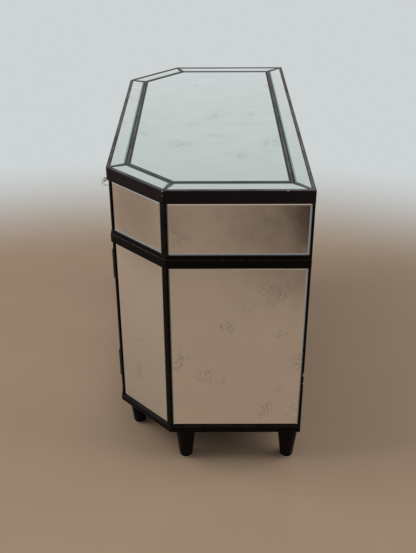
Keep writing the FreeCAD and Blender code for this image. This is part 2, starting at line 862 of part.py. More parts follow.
os.makedirs("parts", exist_ok=True)
for name, piece in parts.items():
    piece.Shape.exportStep(f"parts/{name}.step")
print(f"{len(parts)} sub-parts, {sum(len(piece.Shape.Solids) for piece in parts.values())} solids")
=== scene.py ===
# %% [markdown]
# # A mirrored chiffonier, dressed piece by piece
#
# The chiffonier is a low cabinet with canted front corners. Its carcass is board, every side but the
# back is glazed with antiqued mirror, and black lacquered trim holds the glass. This lesson takes the
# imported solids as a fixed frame, gives each one its finish, and builds the pieces whose shape wants
# more than a plain solid: softened trim, silvered panes, turned legs, glass knobs and small fixings.
#
# Everything is in metres, in the frame of the solids: X along the length, -Y the front, Z up.

# %% Load the frame
import json
import math

import bmesh
import bpy
from mathutils import Matrix, Vector


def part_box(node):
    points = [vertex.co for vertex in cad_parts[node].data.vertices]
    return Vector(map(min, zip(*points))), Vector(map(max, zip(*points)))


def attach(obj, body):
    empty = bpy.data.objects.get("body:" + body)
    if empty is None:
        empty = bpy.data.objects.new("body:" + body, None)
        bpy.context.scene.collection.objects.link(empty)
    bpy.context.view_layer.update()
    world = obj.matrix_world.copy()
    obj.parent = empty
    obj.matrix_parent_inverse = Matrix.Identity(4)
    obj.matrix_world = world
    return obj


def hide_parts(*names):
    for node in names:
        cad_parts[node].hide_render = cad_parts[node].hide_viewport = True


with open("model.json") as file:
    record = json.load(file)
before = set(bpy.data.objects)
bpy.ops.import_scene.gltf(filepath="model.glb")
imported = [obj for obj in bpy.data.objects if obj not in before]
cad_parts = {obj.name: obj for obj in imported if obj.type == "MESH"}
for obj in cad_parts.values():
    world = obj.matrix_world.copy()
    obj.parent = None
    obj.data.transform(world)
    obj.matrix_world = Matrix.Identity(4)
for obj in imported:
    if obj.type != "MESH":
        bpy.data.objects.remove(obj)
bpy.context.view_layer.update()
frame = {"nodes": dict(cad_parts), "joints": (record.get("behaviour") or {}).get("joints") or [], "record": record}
record = frame["record"]
SLOT_OF = {part["node"]: part["material_slot"] for part in record["subparts"]}
BODY_OF = {node: body for body, nodes in record["behaviour"]["bodies"].items() for node in nodes}
MM = 0.001

# %% [markdown]
# ## The camera
#
# The camera stands off the right-hand end and looks along the cabinet, down on its top. Its aim is
# kept as three angles, as on a camera stand: tipped down, turned aside, leaned over.
# `to_track_quat` points it along the line of sight, and a turn about that line leans it.

# %% Place the camera
EYE = Vector((2.2303, 0.0176, 1.5825))
PITCH, YAW, ROLL = math.radians(29.86), math.radians(0.064), math.radians(0.159)
LENS = 52.99

scene = bpy.context.scene
scene.view_settings.view_transform = "Standard"
lens = bpy.data.cameras.new("camera")
lens.lens = LENS
camera = bpy.data.objects.new("camera", lens)
scene.collection.objects.link(camera)
look = Vector((-math.cos(PITCH) * math.cos(YAW), -math.cos(PITCH) * math.sin(YAW), -math.sin(PITCH)))
level_aim = look.to_track_quat("-Z", "Y").to_matrix().to_4x4()
camera.location = EYE
camera.rotation_mode = "QUATERNION"
camera.rotation_quaternion = (Matrix.Rotation(ROLL, 4, look) @ level_aim).to_quaternion()
scene.camera = camera
print(f"camera {EYE.z:.2f} m up, tipped {math.degrees(PITCH):.0f} degrees, {LENS:.0f} mm lens")

# %% [markdown]
# ## Small words for node trees
#
# Every finish is a tree of nodes, so it stays sharp at any distance and has no seam. Trees are wordy
# to write, so short helpers do it. `put` adds a node and fills its sockets with numbers or links.
# `maths` is one sum on numbers; `times`, `plus` and `rest` are its commonest uses.

# %% Add a node, work out a number


def put(tree, kind, sockets=None, **settings):
    """Add a node, set its properties, then fill its sockets with values or links."""
    made = tree.nodes.new(kind)
    for name, setting in settings.items():
        setattr(made, name, setting)
    for name, value in (sockets or {}).items():
        if isinstance(value, bpy.types.NodeSocket):
            tree.links.new(value, made.inputs[name])
        else:
            made.inputs[name].default_value = value
    return made


def maths(tree, operation, first, second=0.0, clamp=False):
    """One arithmetic step on numbers."""
    return put(tree, "ShaderNodeMath", {0: first, 1: second}, operation=operation, use_clamp=clamp).outputs[0]


def times(tree, first, second, clamp=False):
    """A product."""
    return maths(tree, "MULTIPLY", first, second, clamp)


def plus(tree, first, second, clamp=False):
    """A sum."""
    return maths(tree, "ADD", first, second, clamp)


def rest(tree, value):
    """What a number leaves of 1."""
    return maths(tree, "SUBTRACT", 1.0, value)


print("words for numbers: put, maths, times, plus, rest")

# %% [markdown]
# Vectors and colours get words of their own. `slope` turns a number into a soft step, `noise` is a
# cloud of values between 0 and 1, and `blend` mixes two colours by such a value. Nearly every finish
# below is a few clouds, pushed through steps and used to mix colours.

# %% Vectors, steps, clouds and colours


def shift(tree, operation, first, second):
    """One arithmetic step on vectors."""
    return put(tree, "ShaderNodeVectorMath", {0: first, 1: second}, operation=operation).outputs[0]


def reach(tree, vector):
    """The length of a vector."""
    return put(tree, "ShaderNodeVectorMath", {0: vector}, operation="LENGTH").outputs["Value"]


def axes(tree, vector):
    """The three numbers of a vector."""
    return tuple(put(tree, "ShaderNodeSeparateXYZ", {0: vector}).outputs)


def slope(tree, value, low, high):
    """A smooth step from 0 at low to 1 at high."""
    step = put(tree, "ShaderNodeMapRange", {"Value": value, "From Min": low, "From Max": high},
               interpolation_type="SMOOTHSTEP")
    return step.outputs[0]


def noise(tree, vector, scale, detail=2.0, roughness=0.5, distortion=0.0):
    """Cloudy noise from 0 to 1."""
    return put(tree, "ShaderNodeTexNoise", {"Vector": vector, "Scale": scale, "Detail": detail,
                                            "Roughness": roughness, "Distortion": distortion}).outputs[0]


def blend(tree, factor, first, second):
    """A mix of two colours."""
    return put(tree, "ShaderNodeMix", {0: factor, 6: first, 7: second}, data_type="RGBA").outputs[2]


def rgb(red, green, blue):
    """A colour socket's value."""
    return (red, green, blue, 1.0)


print("words for vectors and colours: shift, reach, axes, slope, noise, blend, rgb")

# %% [markdown]
# ## The room
#
# The mirrors need something quiet to reflect: the upright panes show the floor, the top shows the
# walls. The floor is one large sheet in a pale oak tone. Towards its border it turns see-through, so
# it melts into the surround and no horizon shows. The solid disc is centred under the camera, because
# the upright panes of that end mirror the floor there.

# %% The floor
OAK = rgb(0.385, 0.268, 0.182)
OAK_DARK = rgb(0.345, 0.236, 0.159)
FLOOR_MIDDLE = (2.2, -0.2, 0.0)
FADE_START, FADE_END = 2.9, 4.0
FLOOR_REACH = 6.0


def floor_material():
    """A plain oak tone with a faint cloudiness, see-through towards the border."""
    material = bpy.data.materials.new("floor_sheet")
    material.use_nodes = True
    tree = material.node_tree
    place = put(tree, "ShaderNodeTexCoord").outputs["Object"]
    away = reach(tree, shift(tree, "SUBTRACT", place, FLOOR_MIDDLE))
    shade = tree.nodes["Principled BSDF"]
    tone = blend(tree, noise(tree, place, 3.0, detail=3.0), OAK_DARK, OAK)
    tree.links.new(tone, shade.inputs["Base Color"])
    tree.links.new(rest(tree, slope(tree, away, FADE_START, FADE_END)), shade.inputs["Alpha"])
    shade.inputs["Roughness"].default_value = 0.6
    shade.inputs["Specular IOR Level"].default_value = 0.2
    return material


form = bmesh.new()
bmesh.ops.create_grid(form, x_segments=1, y_segments=1, size=FLOOR_REACH)
sheet = bpy.data.meshes.new("floor")
form.to_mesh(sheet)
form.free()
sheet.materials.append(floor_material())
floor = bpy.data.objects.new("floor", sheet)
scene.collection.objects.link(floor)
print(f"floor {2 * FLOOR_REACH:.0f} m wide, see-through from {FADE_END:.0f} m out")

# %% [markdown]
# The surround is the world's own colour. The camera, reflections and glass see it at full strength,
# but as light it is weaker: a Light Path node tells the rays apart. That leaves room for lamps, so
# that the room has a direction of light and a colour still renders about as it is written.

# %% The surround
SURROUND = rgb(0.615, 0.65, 0.655)
SURROUND_LIGHT = 0.62

world = bpy.data.worlds.new("surround")
world.use_nodes = True
sky_tree = world.node_tree
rays = put(sky_tree, "ShaderNodeLightPath").outputs
seen = maths(sky_tree, "MAXIMUM", rays["Is Camera Ray"], rays["Is Glossy Ray"])
seen = maths(sky_tree, "MAXIMUM", seen, rays["Is Transmission Ray"])
strength = put(sky_tree, "ShaderNodeMapRange", {"Value": seen, "To Min": SURROUND_LIGHT, "To Max": 1.0})
sky = sky_tree.nodes["Background"]
sky.inputs["Color"].default_value = SURROUND
sky_tree.links.new(strength.outputs[0], sky.inputs["Strength"])
scene.world = world
print(f"surround lights the cabinet at {SURROUND_LIGHT:.0%} of what the eye sees")

# %% [markdown]
# Two large soft lamps hang high, one on each long side. Large lamps give soft shadows under the case
# and broad, quiet highlights on the lacquer.

# %% The lamps
LAMP_AIM = Vector((0.1, 0.0, 0.3))


def lamp(name, place, size, power):
    """A large soft square lamp."""
    light = bpy.data.lights.new(name, "AREA")
    light.size = size
    light.energy = power
    hung = bpy.data.objects.new(name, light)
    hung.location = place
    hung.rotation_mode = "QUATERNION"
    hung.rotation_quaternion = (LAMP_AIM - Vector(place)).to_track_quat("-Z", "Y")
    scene.collection.objects.link(hung)
    return hung


lamps = [lamp("window", (0.2, -2.9, 2.8), size=2.2, power=72.0),
         lamp("fill", (0.4, 2.9, 2.8), size=2.4, power=58.0)]
print(f"{len(lamps)} lamps, {lamps[0].location.z:.1f} m up")

# %% [markdown]
# ## Effects that several finishes share
#
# Each effect is a shader group with named inputs. It puts out only masks and values; the shader
# itself stays in the material that uses the group. `group` opens an empty one, `use` places it.

# %% Open and place a group


def group(name, inputs, outputs):
    """An empty shader group; returns its tree, its input sockets by name and its output node."""
    tree = bpy.data.node_groups.new(name, "ShaderNodeTree")
    for label, kind, default in inputs:
        socket = tree.interface.new_socket(label, in_out="INPUT", socket_type=f"NodeSocket{kind}")
        socket.default_value = default
    for label, kind in outputs:
        tree.interface.new_socket(label, in_out="OUTPUT", socket_type=f"NodeSocket{kind}")
    start = tree.nodes.new("NodeGroupInput")
    end = tree.nodes.new("NodeGroupOutput")
    return tree, {socket.name: socket for socket in start.outputs if socket.name}, end


def use(tree, group_tree, **values):
    """Place a group in a material; underscores in names stand for spaces."""
    made = put(tree, "ShaderNodeGroup", node_tree=group_tree)
    for name, value in values.items():
        socket = made.inputs[name.replace("_", " ")]
        if isinstance(value, bpy.types.NodeSocket):
            tree.links.new(value, socket)
        else:
            socket.default_value = value
    return made.outputs


print("words for groups: group, use")

# %% [markdown]
# *Foxing* is the dark speckle of old silvering. It comes in clusters about as wide as a hand. A
# Voronoi texture splits space into cells, each with a random colour, so a coarse one places the
# clusters, some cells foxed and some clean, and a fine one scatters specks, more of them towards the
# middle of a cluster. A little noise on the coordinates makes the clusters ragged.

# %% Foxing
CLUSTER_STIR = 0.07
CLUSTER_FULL = 0.04
SPECK_SHARE = 0.62


def make_foxing():
    """Compact clusters of small dark specks."""
    tree, given, end = group("Foxing", [
        ("Vector", "Vector", (0, 0, 0)), ("Cluster Scale", "Float", 9.0), ("Cluster Share", "Float", 0.5),
        ("Cluster Size", "Float", 0.4), ("Speck Scale", "Float", 160.0), ("Speck Size", "Float", 0.35),
    ], [("Mask", "Float"), ("Cluster", "Float")])
    at = given["Vector"]
    stir = put(tree, "ShaderNodeTexNoise", {"Vector": at, "Scale": 14.0, "Detail": 3.0}).outputs["Color"]
    ragged = shift(tree, "ADD", at, shift(tree, "MULTIPLY", stir, (CLUSTER_STIR,) * 3))
    home = put(tree, "ShaderNodeTexVoronoi", {"Vector": ragged, "Scale": given["Cluster Scale"]}).outputs
    chance = put(tree, "ShaderNodeSeparateColor", {0: home["Color"]}).outputs
    foxed = maths(tree, "LESS_THAN", chance[0], given["Cluster Share"])
    width = times(tree, given["Cluster Size"], plus(tree, chance[1], 0.5))
    cluster = times(tree, rest(tree, slope(tree, home["Distance"], CLUSTER_FULL, width)), foxed)
    cells = put(tree, "ShaderNodeTexVoronoi", {"Vector": at, "Scale": given["Speck Scale"]}).outputs
    draw = put(tree, "ShaderNodeSeparateColor", {0: cells["Color"]}).outputs
    full = maths(tree, "LESS_THAN", draw[0], times(tree, cluster, SPECK_SHARE))
    radius = times(tree, given["Speck Size"], plus(tree, draw[1], 0.3))
    speck = rest(tree, slope(tree, cells["Distance"], times(tree, radius, 0.5), radius))
    tree.links.new(times(tree, speck, full), end.inputs["Mask"])
    tree.links.new(cluster, end.inputs["Cluster"])
    return tree


FOXING = make_foxing()
print(f"foxing: {len(FOXING.nodes)} nodes")

# %% [markdown]
# *A blot at a place* has a ragged edge: it is the distance from a named point, disturbed by noise.
# It makes the painted dark reflections on the panes and the chips that bare the wood at a mitre.

# %% Blots


def make_blot():
    """A ragged blot round one point."""
    tree, given, end = group("Blot", [
        ("Vector", "Vector", (0, 0, 0)), ("Centre", "Vector", (0, 0, 0)), ("Stretch", "Vector", (1, 1, 1)),
        ("Radius", "Float", 0.01), ("Softness", "Float", 0.5), ("Raggedness", "Float", 0.5),
        ("Grain", "Float", 300.0),
    ], [("Mask", "Float")])
    offset = shift(tree, "SUBTRACT", given["Vector"], given["Centre"])
    away = reach(tree, shift(tree, "MULTIPLY", offset, given["Stretch"]))
    share = maths(tree, "DIVIDE", away, given["Radius"])
    cloud = noise(tree, given["Vector"], given["Grain"], detail=4.0, roughness=0.65)
    ragged = times(tree, maths(tree, "SUBTRACT", cloud, 0.5), times(tree, given["Raggedness"], 2.0))
    mask = rest(tree, slope(tree, plus(tree, share, ragged), rest(tree, given["Softness"]), 1.0))
    tree.links.new(mask, end.inputs["Mask"])
    return tree


BLOT = make_blot()
print(f"blot: {len(BLOT.nodes)} nodes")

# %% [markdown]
# *Edge wear* uses a number that the trim pieces carry on their own vertices: 1 along an arris and 0
# a millimetre or two in from it. Noise eats into that band, so the lacquer thins here and there.

# %% Edge wear


def make_edge_wear():
    """Rubbed arrises: a soft sheen all along, and a few bare spots."""
    tree, given, end = group("Edge Wear", [
        ("Vector", "Vector", (0, 0, 0)), ("Arris", "Float", 0.0), ("Scale", "Float", 60.0),
        ("Bare", "Float", 0.3),
    ], [("Rubbed", "Float"), ("Bare", "Float")])
    broad = noise(tree, given["Vector"], given["Scale"], detail=3.0, roughness=0.6)
    fine = noise(tree, given["Vector"], times(tree, given["Scale"], 3.0), detail=4.0, roughness=0.7)
    rubbed = times(tree, slope(tree, given["Arris"], 0.25, 1.0), slope(tree, broad, 0.3, 0.7))
    eaten = times(tree, fine, slope(tree, broad, 0.35, 0.75))
    worn = times(tree, slope(tree, given["Arris"], 0.5, 1.0), eaten)
    limit = rest(tree, given["Bare"])
    tree.links.new(rubbed, end.inputs["Rubbed"])
    tree.links.new(slope(tree, worn, limit, plus(tree, limit, 0.06)), end.inputs["Bare"])
    return tree


EDGE_WEAR = make_edge_wear()
print(f"edge wear: {len(EDGE_WEAR.nodes)} nodes")

# %% [markdown]
# *Grain* is noise drawn out along one axis, in two widths: the broad figure of the board, whose
# rings come from the sine of a cloud, and the fine pores.

# %% Grain
RINGS_IN_FIGURE = 38.0


def make_grain():
    """Wood figure and pores along X."""
    tree, given, end = group("Grain", [
        ("Vector", "Vector", (0, 0, 0)), ("Length", "Float", 0.06), ("Scale", "Float", 22.0),
    ], [("Figure", "Float"), ("Pores", "Float")])
    along, across, up = axes(tree, given["Vector"])
    stretched = times(tree, along, given["Length"])
    drawn = put(tree, "ShaderNodeCombineXYZ", {0: stretched, 1: across, 2: up}).outputs[0]
    cloud = noise(tree, drawn, given["Scale"], detail=4.0, roughness=0.55, distortion=1.2)
    rings = maths(tree, "SINE", times(tree, cloud, RINGS_IN_FIGURE))
    figure = plus(tree, times(tree, rings, 0.22), times(tree, cloud, 0.8), clamp=True)
    pores = noise(tree, drawn, times(tree, given["Scale"], 18.0), detail=2.0, roughness=0.7)
    tree.links.new(figure, end.inputs["Figure"])
    tree.links.new(slope(tree, pores, 0.35, 0.65), end.inputs["Pores"])
    return tree


GRAIN = make_grain()
print(f"grain: {len(GRAIN.nodes)} nodes")

# %% [markdown]
# *Dust* is a film on faces that look up. It goes as soon as a face tilts, and a cloud makes it
# uneven. How much of it lies there is left to the finish that uses it.

# %% Dust
DUST_TILT = (0.985, 0.9995)


def make_dust():
    """A thin uneven film on faces that look up."""
    tree, given, end = group("Dust", [
        ("Vector", "Vector", (0, 0, 0)), ("Amount", "Float", 0.3),
    ], [("Mask", "Float")])
    up = axes(tree, put(tree, "ShaderNodeNewGeometry").outputs["Normal"])[2]
    cloud = noise(tree, given["Vector"], 14.0, detail=5.0, roughness=0.65)
    mask = times(tree, slope(tree, up, *DUST_TILT), slope(tree, cloud, 0.2, 0.65))
    tree.links.new(times(tree, mask, given["Amount"]), end.inputs["Mask"])
    return tree


DUST = make_dust()
print(f"{len(bpy.data.node_groups)} shared effects")

# %% [markdown]
# ## The finishes
#
# A finish starts from `finish`, which opens a material with its coordinates and shader ready. A
# number that is the same all over a surface is set on the shader's own socket, and `join` links the
# values that change. Coordinates are the object's own, so a pattern stays put when a door turns.

# %% Open a material


def finish(name, **plain):
    """A new material: its tree, Object coordinates and shader, with the plain sockets set."""
    material = bpy.data.materials.new(name)
    material.use_nodes = True
    tree = material.node_tree
    shade = tree.nodes["Principled BSDF"]
    for label, value in plain.items():
        shade.inputs[label.replace("_", " ")].default_value = value
    return material, tree, put(tree, "ShaderNodeTexCoord").outputs["Object"], shade


def join(tree, shade, **sources):
    """Link values that change over the surface to the shader."""
    for label, source in sources.items():
        tree.links.new(source, shade.inputs[label.replace("_", " ")])


def attribute(tree, name):
    """A number that a piece carries on its own mesh; 0 on a piece that carries none."""
    return put(tree, "ShaderNodeAttribute", attribute_name=name).outputs["Fac"]


def bump(tree, height, depth):
    """A normal from a height between 0 and 1; depth is its relief in metres."""
    return put(tree, "ShaderNodeBump", {"Height": height, "Distance": depth}).outputs[0]


FINISHES = {}
print("words for finishes: finish, join, attribute, bump")

# %% [markdown]
# *Black lacquer* covers all the trim. A few chips bare the wood: at a mitre, on the edge of the end
# and down a back corner. Each is a blot at its own place, and where two masks meet the higher wins.

# %% Chips in the lacquer
CHIPS = (  # middle, stretch, radius
    ((0.5135, -0.0890, 0.8225), (1.0, 1.0, 1.6), 0.0028),
    ((0.5145, -0.0895, 0.8110), (1.0, 1.2, 0.9), 0.0020),
    ((0.5140, 0.2000, 0.8235), (1.0, 0.5, 1.2), 0.0017),
    ((0.5105, 0.2650, 0.2980), (1.0, 1.0, 0.30), 0.0022),
    ((0.5105, 0.2650, 0.2700), (1.0, 1.0, 0.45), 0.0018),
)


def chipped(tree, at, bare):
    """The mask of the bare wood, with the chips added."""
    for centre, stretch, radius in CHIPS:
        chip = use(tree, BLOT, Vector=at, Centre=centre, Stretch=stretch, Radius=radius,
                   Softness=0.25, Raggedness=0.6, Grain=420.0)["Mask"]
        bare = maths(tree, "MAXIMUM", bare, chip)
    return bare


print(f"{len(CHIPS)} chips")

# %% [markdown]
# The lacquer is nearly black with a little brown in it, and satin. Near the top it is painted a little lighter, a
# painted sheen, and on the rim and on the crown of the beads lies a pale tone that is partly dust and partly
# painted sheen. The colours are laid over each other in this order: lacquer, painted top sheen, rubbed arrises,
# bare wood, dust and sheen.

# %% Black lacquer
LACQUER, LACQUER_CLOUD = rgb(0.0020, 0.0015, 0.0015), rgb(0.0045, 0.0034, 0.0033)
PAINTED_TOP_SHEEN = rgb(0.0170, 0.0114, 0.0138)
RUBBED_AND_SHEEN = rgb(0.045, 0.034, 0.030)
BARE_DARK, BARE_PALE = rgb(0.28, 0.17, 0.09), rgb(0.58, 0.42, 0.26)
TOP_DUST_AND_SHEEN = rgb(0.148, 0.138, 0.142)
PAINTED_SHEEN_LEVELS = (0.74, 0.81)
DUST_AND_SHEEN_BY_HEIGHT = {"From Min": 0.80, "From Max": 0.82, "To Min": 0.05, "To Max": 0.90}


def black_lacquer():
    """Satin black with a painted sheen near the top, rubbed, chipped, and dusty with painted sheen on top."""
    material, tree, at, shade = finish("black_lacquer", Specular_IOR_Level=0.07)
    cloud = noise(tree, at, 9.0, detail=4.0, roughness=0.6)
    height = axes(tree, at)[2]
    wear = use(tree, EDGE_WEAR, Vector=at, Arris=attribute(tree, "arris"), Scale=70.0, Bare=0.46)
    bare = chipped(tree, at, wear["Bare"])
    # Dust and painted sheen: a pale tone on the up-facing faces of the top, kept off the sides of the bead.
    amount = put(tree, "ShaderNodeMapRange", {"Value": height, **DUST_AND_SHEEN_BY_HEIGHT}).outputs[0]
    amount = times(tree, amount, rest(tree, attribute(tree, "beside_crown")))
    dust = use(tree, DUST, Vector=at, Amount=amount)["Mask"]
    grain = noise(tree, at, 160.0, detail=4.0, roughness=0.7)
    # Painted sheen: near the top the lacquer is painted lighter, as if catching more light.
    sheen_near_top = times(tree, slope(tree, height, *PAINTED_SHEEN_LEVELS), plus(tree, cloud, 0.35), clamp=True)
    base = blend(tree, sheen_near_top, blend(tree, cloud, LACQUER, LACQUER_CLOUD), PAINTED_TOP_SHEEN)
    # Rubbed colour: real wear on the arrises of the trim, and painted sheen on the crown of the bead.
    base = blend(tree, times(tree, wear["Rubbed"], 0.35), base, RUBBED_AND_SHEEN)
    base = blend(tree, bare, base, blend(tree, grain, BARE_DARK, BARE_PALE))
    base = blend(tree, dust, base, TOP_DUST_AND_SHEEN)
    rough = plus(tree, times(tree, cloud, 0.18), 0.24)
    rough = plus(tree, rough, times(tree, maths(tree, "MAXIMUM", bare, dust), 0.5), clamp=True)
    relief = maths(tree, "SUBTRACT", times(tree, grain, 0.12), bare)
    join(tree, shade, Base_Color=base, Roughness=rough, Normal=bump(tree, relief, 0.2 * MM))
    return material


FINISHES["black_lacquer"] = black_lacquer()
print(f"black lacquer: {len(FINISHES['black_lacquer'].node_tree.nodes)} nodes")

# %% [markdown]
# *Antiqued mirror* is silver behind clear glass: a metal with a thin clear coat for the face of the glass. It is
# made in layers too. First comes the silver itself, slightly green and cloudy, with faint streaks. It is painted
# brighter towards the left-hand end, and the top is painted dimmer at the right-hand one: painted light that
# stands in for brighter and dimmer reflections there.

# %% Old silver
SILVER, SILVER_CLOUD = rgb(0.79, 0.86, 0.80), rgb(0.91, 0.95, 0.91)
SILVER_PAINTED_BRIGHT, SILVER_PAINTED_DIM = rgb(0.98, 1.0, 1.0), rgb(0.45, 0.47, 0.44)
SILVER_MOTTLE, SILVER_UPRIGHT = rgb(0.66, 0.69, 0.62), rgb(0.90, 0.88, 0.93)
SMUDGE = rgb(0.42, 0.41, 0.38)


def old_silver(tree, at, along, cloud, upright):
    """The colour of the silver before any damage, with painted light along its length."""
    streaks = put(tree, "ShaderNodeMapping", {"Vector": at, "Scale": (1.0, 0.35, 1.0)}).outputs[0]
    mottle = slope(tree, noise(tree, streaks, 30.0, detail=6.0, roughness=0.75, distortion=0.6), 0.35, 0.7)
    silver = blend(tree, cloud, SILVER, SILVER_CLOUD)
    # Painted light: brighter silver towards the left-hand end, dimmer on the top at the right-hand end.
    silver = blend(tree, slope(tree, along, 0.25, -0.5), silver, SILVER_PAINTED_BRIGHT)
    painted_dim = times(tree, slope(tree, along, 0.1, 0.6), rest(tree, upright))
    silver = blend(tree, times(tree, painted_dim, 0.26), silver, SILVER_PAINTED_DIM)
    return blend(tree, times(tree, mottle, 0.28), silver, SILVER_MOTTLE)


print("old silver: cloud, length, streaks")

# %% [markdown]
# The damage comes next: specks of foxing in two sizes with a grey smudge under each cluster, and one tea stain.
# Soft dark patches on the upright panes, towards the wall side and the corners, are painted dark reflections. Each
# is a shared group, placed with its own numbers.

# %% Foxing, stains and painted dark reflections of the glass
FOXING_SIZES = (
    {"Cluster_Scale": 13.0, "Cluster_Share": 0.34, "Cluster_Size": 0.48,
     "Speck_Scale": 240.0, "Speck_Size": 0.46},
    {"Cluster_Scale": 11.0, "Cluster_Share": 0.22, "Cluster_Size": 0.34,
     "Speck_Scale": 170.0, "Speck_Size": 0.36},
)
PAINTED_DARK_REFLECTIONS = (  # middle, stretch, radius, softness, depth
    ((0.509, 0.360, 0.745), (1.0, 1.0, 1.35), 0.450, 0.95, 0.74),
    ((0.509, 0.262, 0.782), (1.0, 1.5, 0.7), 0.110, 0.9, 0.97),
    ((0.440, -0.160, 0.740), (1.0, 1.0, 0.8), 0.190, 0.9, 0.42),
)
TEA_STAIN = {"Centre": (0.424, -0.174, 0.245), "Stretch": (1.0, 1.0, 0.5), "Radius": 0.020,
             "Softness": 0.8, "Raggedness": 0.5, "Grain": 80.0}
PAINTED_REFLECTION_DARK, TEA = rgb(0.15, 0.135, 0.14), rgb(0.66, 0.60, 0.30)


def foxed(tree, at):
    """The specks, and the smudges under their clusters."""
    fine, coarse = [use(tree, FOXING, Vector=at, **sizes) for sizes in FOXING_SIZES]
    specks = maths(tree, "MAXIMUM", fine["Mask"], coarse["Mask"])
    cluster = maths(tree, "MAXIMUM", fine["Cluster"], coarse["Cluster"])
    haze = slope(tree, noise(tree, at, 75.0, detail=5.0, roughness=0.7), 0.40, 0.66)
    return specks, times(tree, cluster, haze)


def stained(tree, at, silver, upright):
    """Silver with the painted dark reflections and the tea stain laid over it."""
    # Painted dark reflections: soft dark patches, on the upright panes only.
    for centre, stretch, radius, softness, depth in PAINTED_DARK_REFLECTIONS:
        dark_reflection = use(tree, BLOT, Vector=at, Centre=centre, Stretch=stretch, Radius=radius,
                    Softness=softness, Raggedness=0.2, Grain=22.0)["Mask"]
        silver = blend(tree, times(tree, times(tree, dark_reflection, depth), upright), silver, PAINTED_REFLECTION_DARK)
    tea = use(tree, BLOT, Vector=at, **TEA_STAIN)["Mask"]
    return blend(tree, times(tree, tea, 0.40), silver, TEA)


print(f"{len(FOXING_SIZES)} sizes of foxing, {len(PAINTED_DARK_REFLECTIONS)} painted_darks, 1 tea stain")

# %% [markdown]
# Last come the edges, from two numbers that each pane carries. `rim` runs from 1 at a pane's edge to 0 inside its
# border and gives the green of thick glass; round the centre mirror of the top that thin green line is a painted
# shade line beside the bead. `painted_glint` is 1 on the ground bevels that get a painted pale glint and -1 on
# those that get a painted tan reflection. Specks and painted glints are less of a metal.

# %% Antiqued mirror
GLASS_EDGE, SPECK = rgb(0.12, 0.235, 0.225), rgb(0.15, 0.11, 0.08)
PAINTED_BEVEL_GLINT, PAINTED_BEVEL_TAN = rgb(0.70, 0.78, 0.86), rgb(0.56, 0.44, 0.32)


def mirror_glass():
    """Foxed and stained silver under a clear coat, with green edges, painted dark reflections and painted glints
    on the bevels.
    """
    material, tree, at, shade = finish("mirror_glass", Coat_Weight=0.3, Coat_Roughness=0.02)
    cloud = noise(tree, at, 4.5, detail=5.0, roughness=0.6, distortion=0.4)
    along, _, height = axes(tree, at)
    up = axes(tree, put(tree, "ShaderNodeNewGeometry").outputs["Normal"])[2]
    upright = maths(tree, "LESS_THAN", up, 0.5)
    specks, smudge = foxed(tree, at)
    silver = blend(tree, times(tree, smudge, 0.45), old_silver(tree, at, along, cloud, upright), SMUDGE)
    silver = blend(tree, times(tree, upright, 0.6), silver, SILVER_UPRIGHT)
    silver = stained(tree, at, silver, upright)
    rim = slope(tree, attribute(tree, "rim"), 0.15, 0.55)
    silver = blend(tree, times(tree, rim, 0.85), silver, GLASS_EDGE)
    bite = plus(tree, 0.45, times(tree, upright, 0.24))
    silver = blend(tree, times(tree, specks, bite), silver, SPECK)
    painted_glint = attribute(tree, "painted_glint")
    # Painted glint: pale colour on bevels marked 1, weaker low down; painted tan reflection on those marked -1.
    light = times(tree, maths(tree, "MAXIMUM", painted_glint, 0.0), slope(tree, height, 0.05, 0.5))
    silver = blend(tree, times(tree, light, 0.85), silver, PAINTED_BEVEL_GLINT)
    silver = blend(tree, times(tree, painted_glint, -0.9, clamp=True), silver, PAINTED_BEVEL_TAN)
    metallic = rest(tree, maths(tree, "MAXIMUM", times(tree, specks, 0.5), times(tree, light, 0.7)))
    rough = plus(tree, times(tree, cloud, 0.05), 0.03)
    rough = plus(tree, rough, times(tree, maths(tree, "MAXIMUM", specks, smudge), 0.25), clamp=True)
    ripple = bump(tree, noise(tree, at, 3.0, detail=1.0), 0.6 * MM)
    join(tree, shade, Base_Color=silver, Metallic=metallic, Roughness=rough, Normal=ripple)
    return material


FINISHES["mirror_glass"] = mirror_glass()
print(f"mirror: {len(FINISHES['mirror_glass'].node_tree.nodes)} nodes")

# %% [markdown]
# The boards inside and behind are painted *matt black* over visible grain. The drawer box is *pale
# wood*, waxed. Both use the same grain, with other colours.

# %% Boards and drawer wood
BOARD, BOARD_FIGURE, BOARD_DUST = rgb(0.014, 0.012, 0.011), rgb(0.030, 0.026, 0.023), rgb(0.26, 0.24, 0.22)
PALE_WOOD, PALE_FIGURE, PORES = rgb(0.40, 0.26, 0.14), rgb(0.62, 0.46, 0.29), rgb(0.27, 0.16, 0.08)


def carcass_board():
    """Board painted matt black, dusty where it looks up."""
    material, tree, at, shade = finish("carcass_board")
    grain = use(tree, GRAIN, Vector=at, Length=0.06, Scale=20.0)
    dust = use(tree, DUST, Vector=at, Amount=0.25)["Mask"]
    base = blend(tree, dust, blend(tree, grain["Figure"], BOARD, BOARD_FIGURE), BOARD_DUST)
    rough = plus(tree, 0.55, times(tree, grain["Pores"], 0.2))
    join(tree, shade, Base_Color=base, Roughness=rough, Normal=bump(tree, grain["Pores"], 0.12 * MM))
    return material


def drawer_wood():
    """Pale waxed wood with dark pores."""
    material, tree, at, shade = finish("drawer_wood")
    grain = use(tree, GRAIN, Vector=at, Length=0.05, Scale=26.0)
    base = blend(tree, grain["Figure"], PALE_WOOD, PALE_FIGURE)
    base = blend(tree, times(tree, grain["Pores"], 0.35), base, PORES)
    rough = plus(tree, 0.42, times(tree, grain["Pores"], 0.22))
    join(tree, shade, Base_Color=base, Roughness=rough, Normal=bump(tree, grain["Pores"], 0.15 * MM))
    return material


FINISHES["carcass_board"] = carcass_board()
FINISHES["drawer_wood"] = drawer_wood()
print(f"{len(FINISHES)} finishes so far")

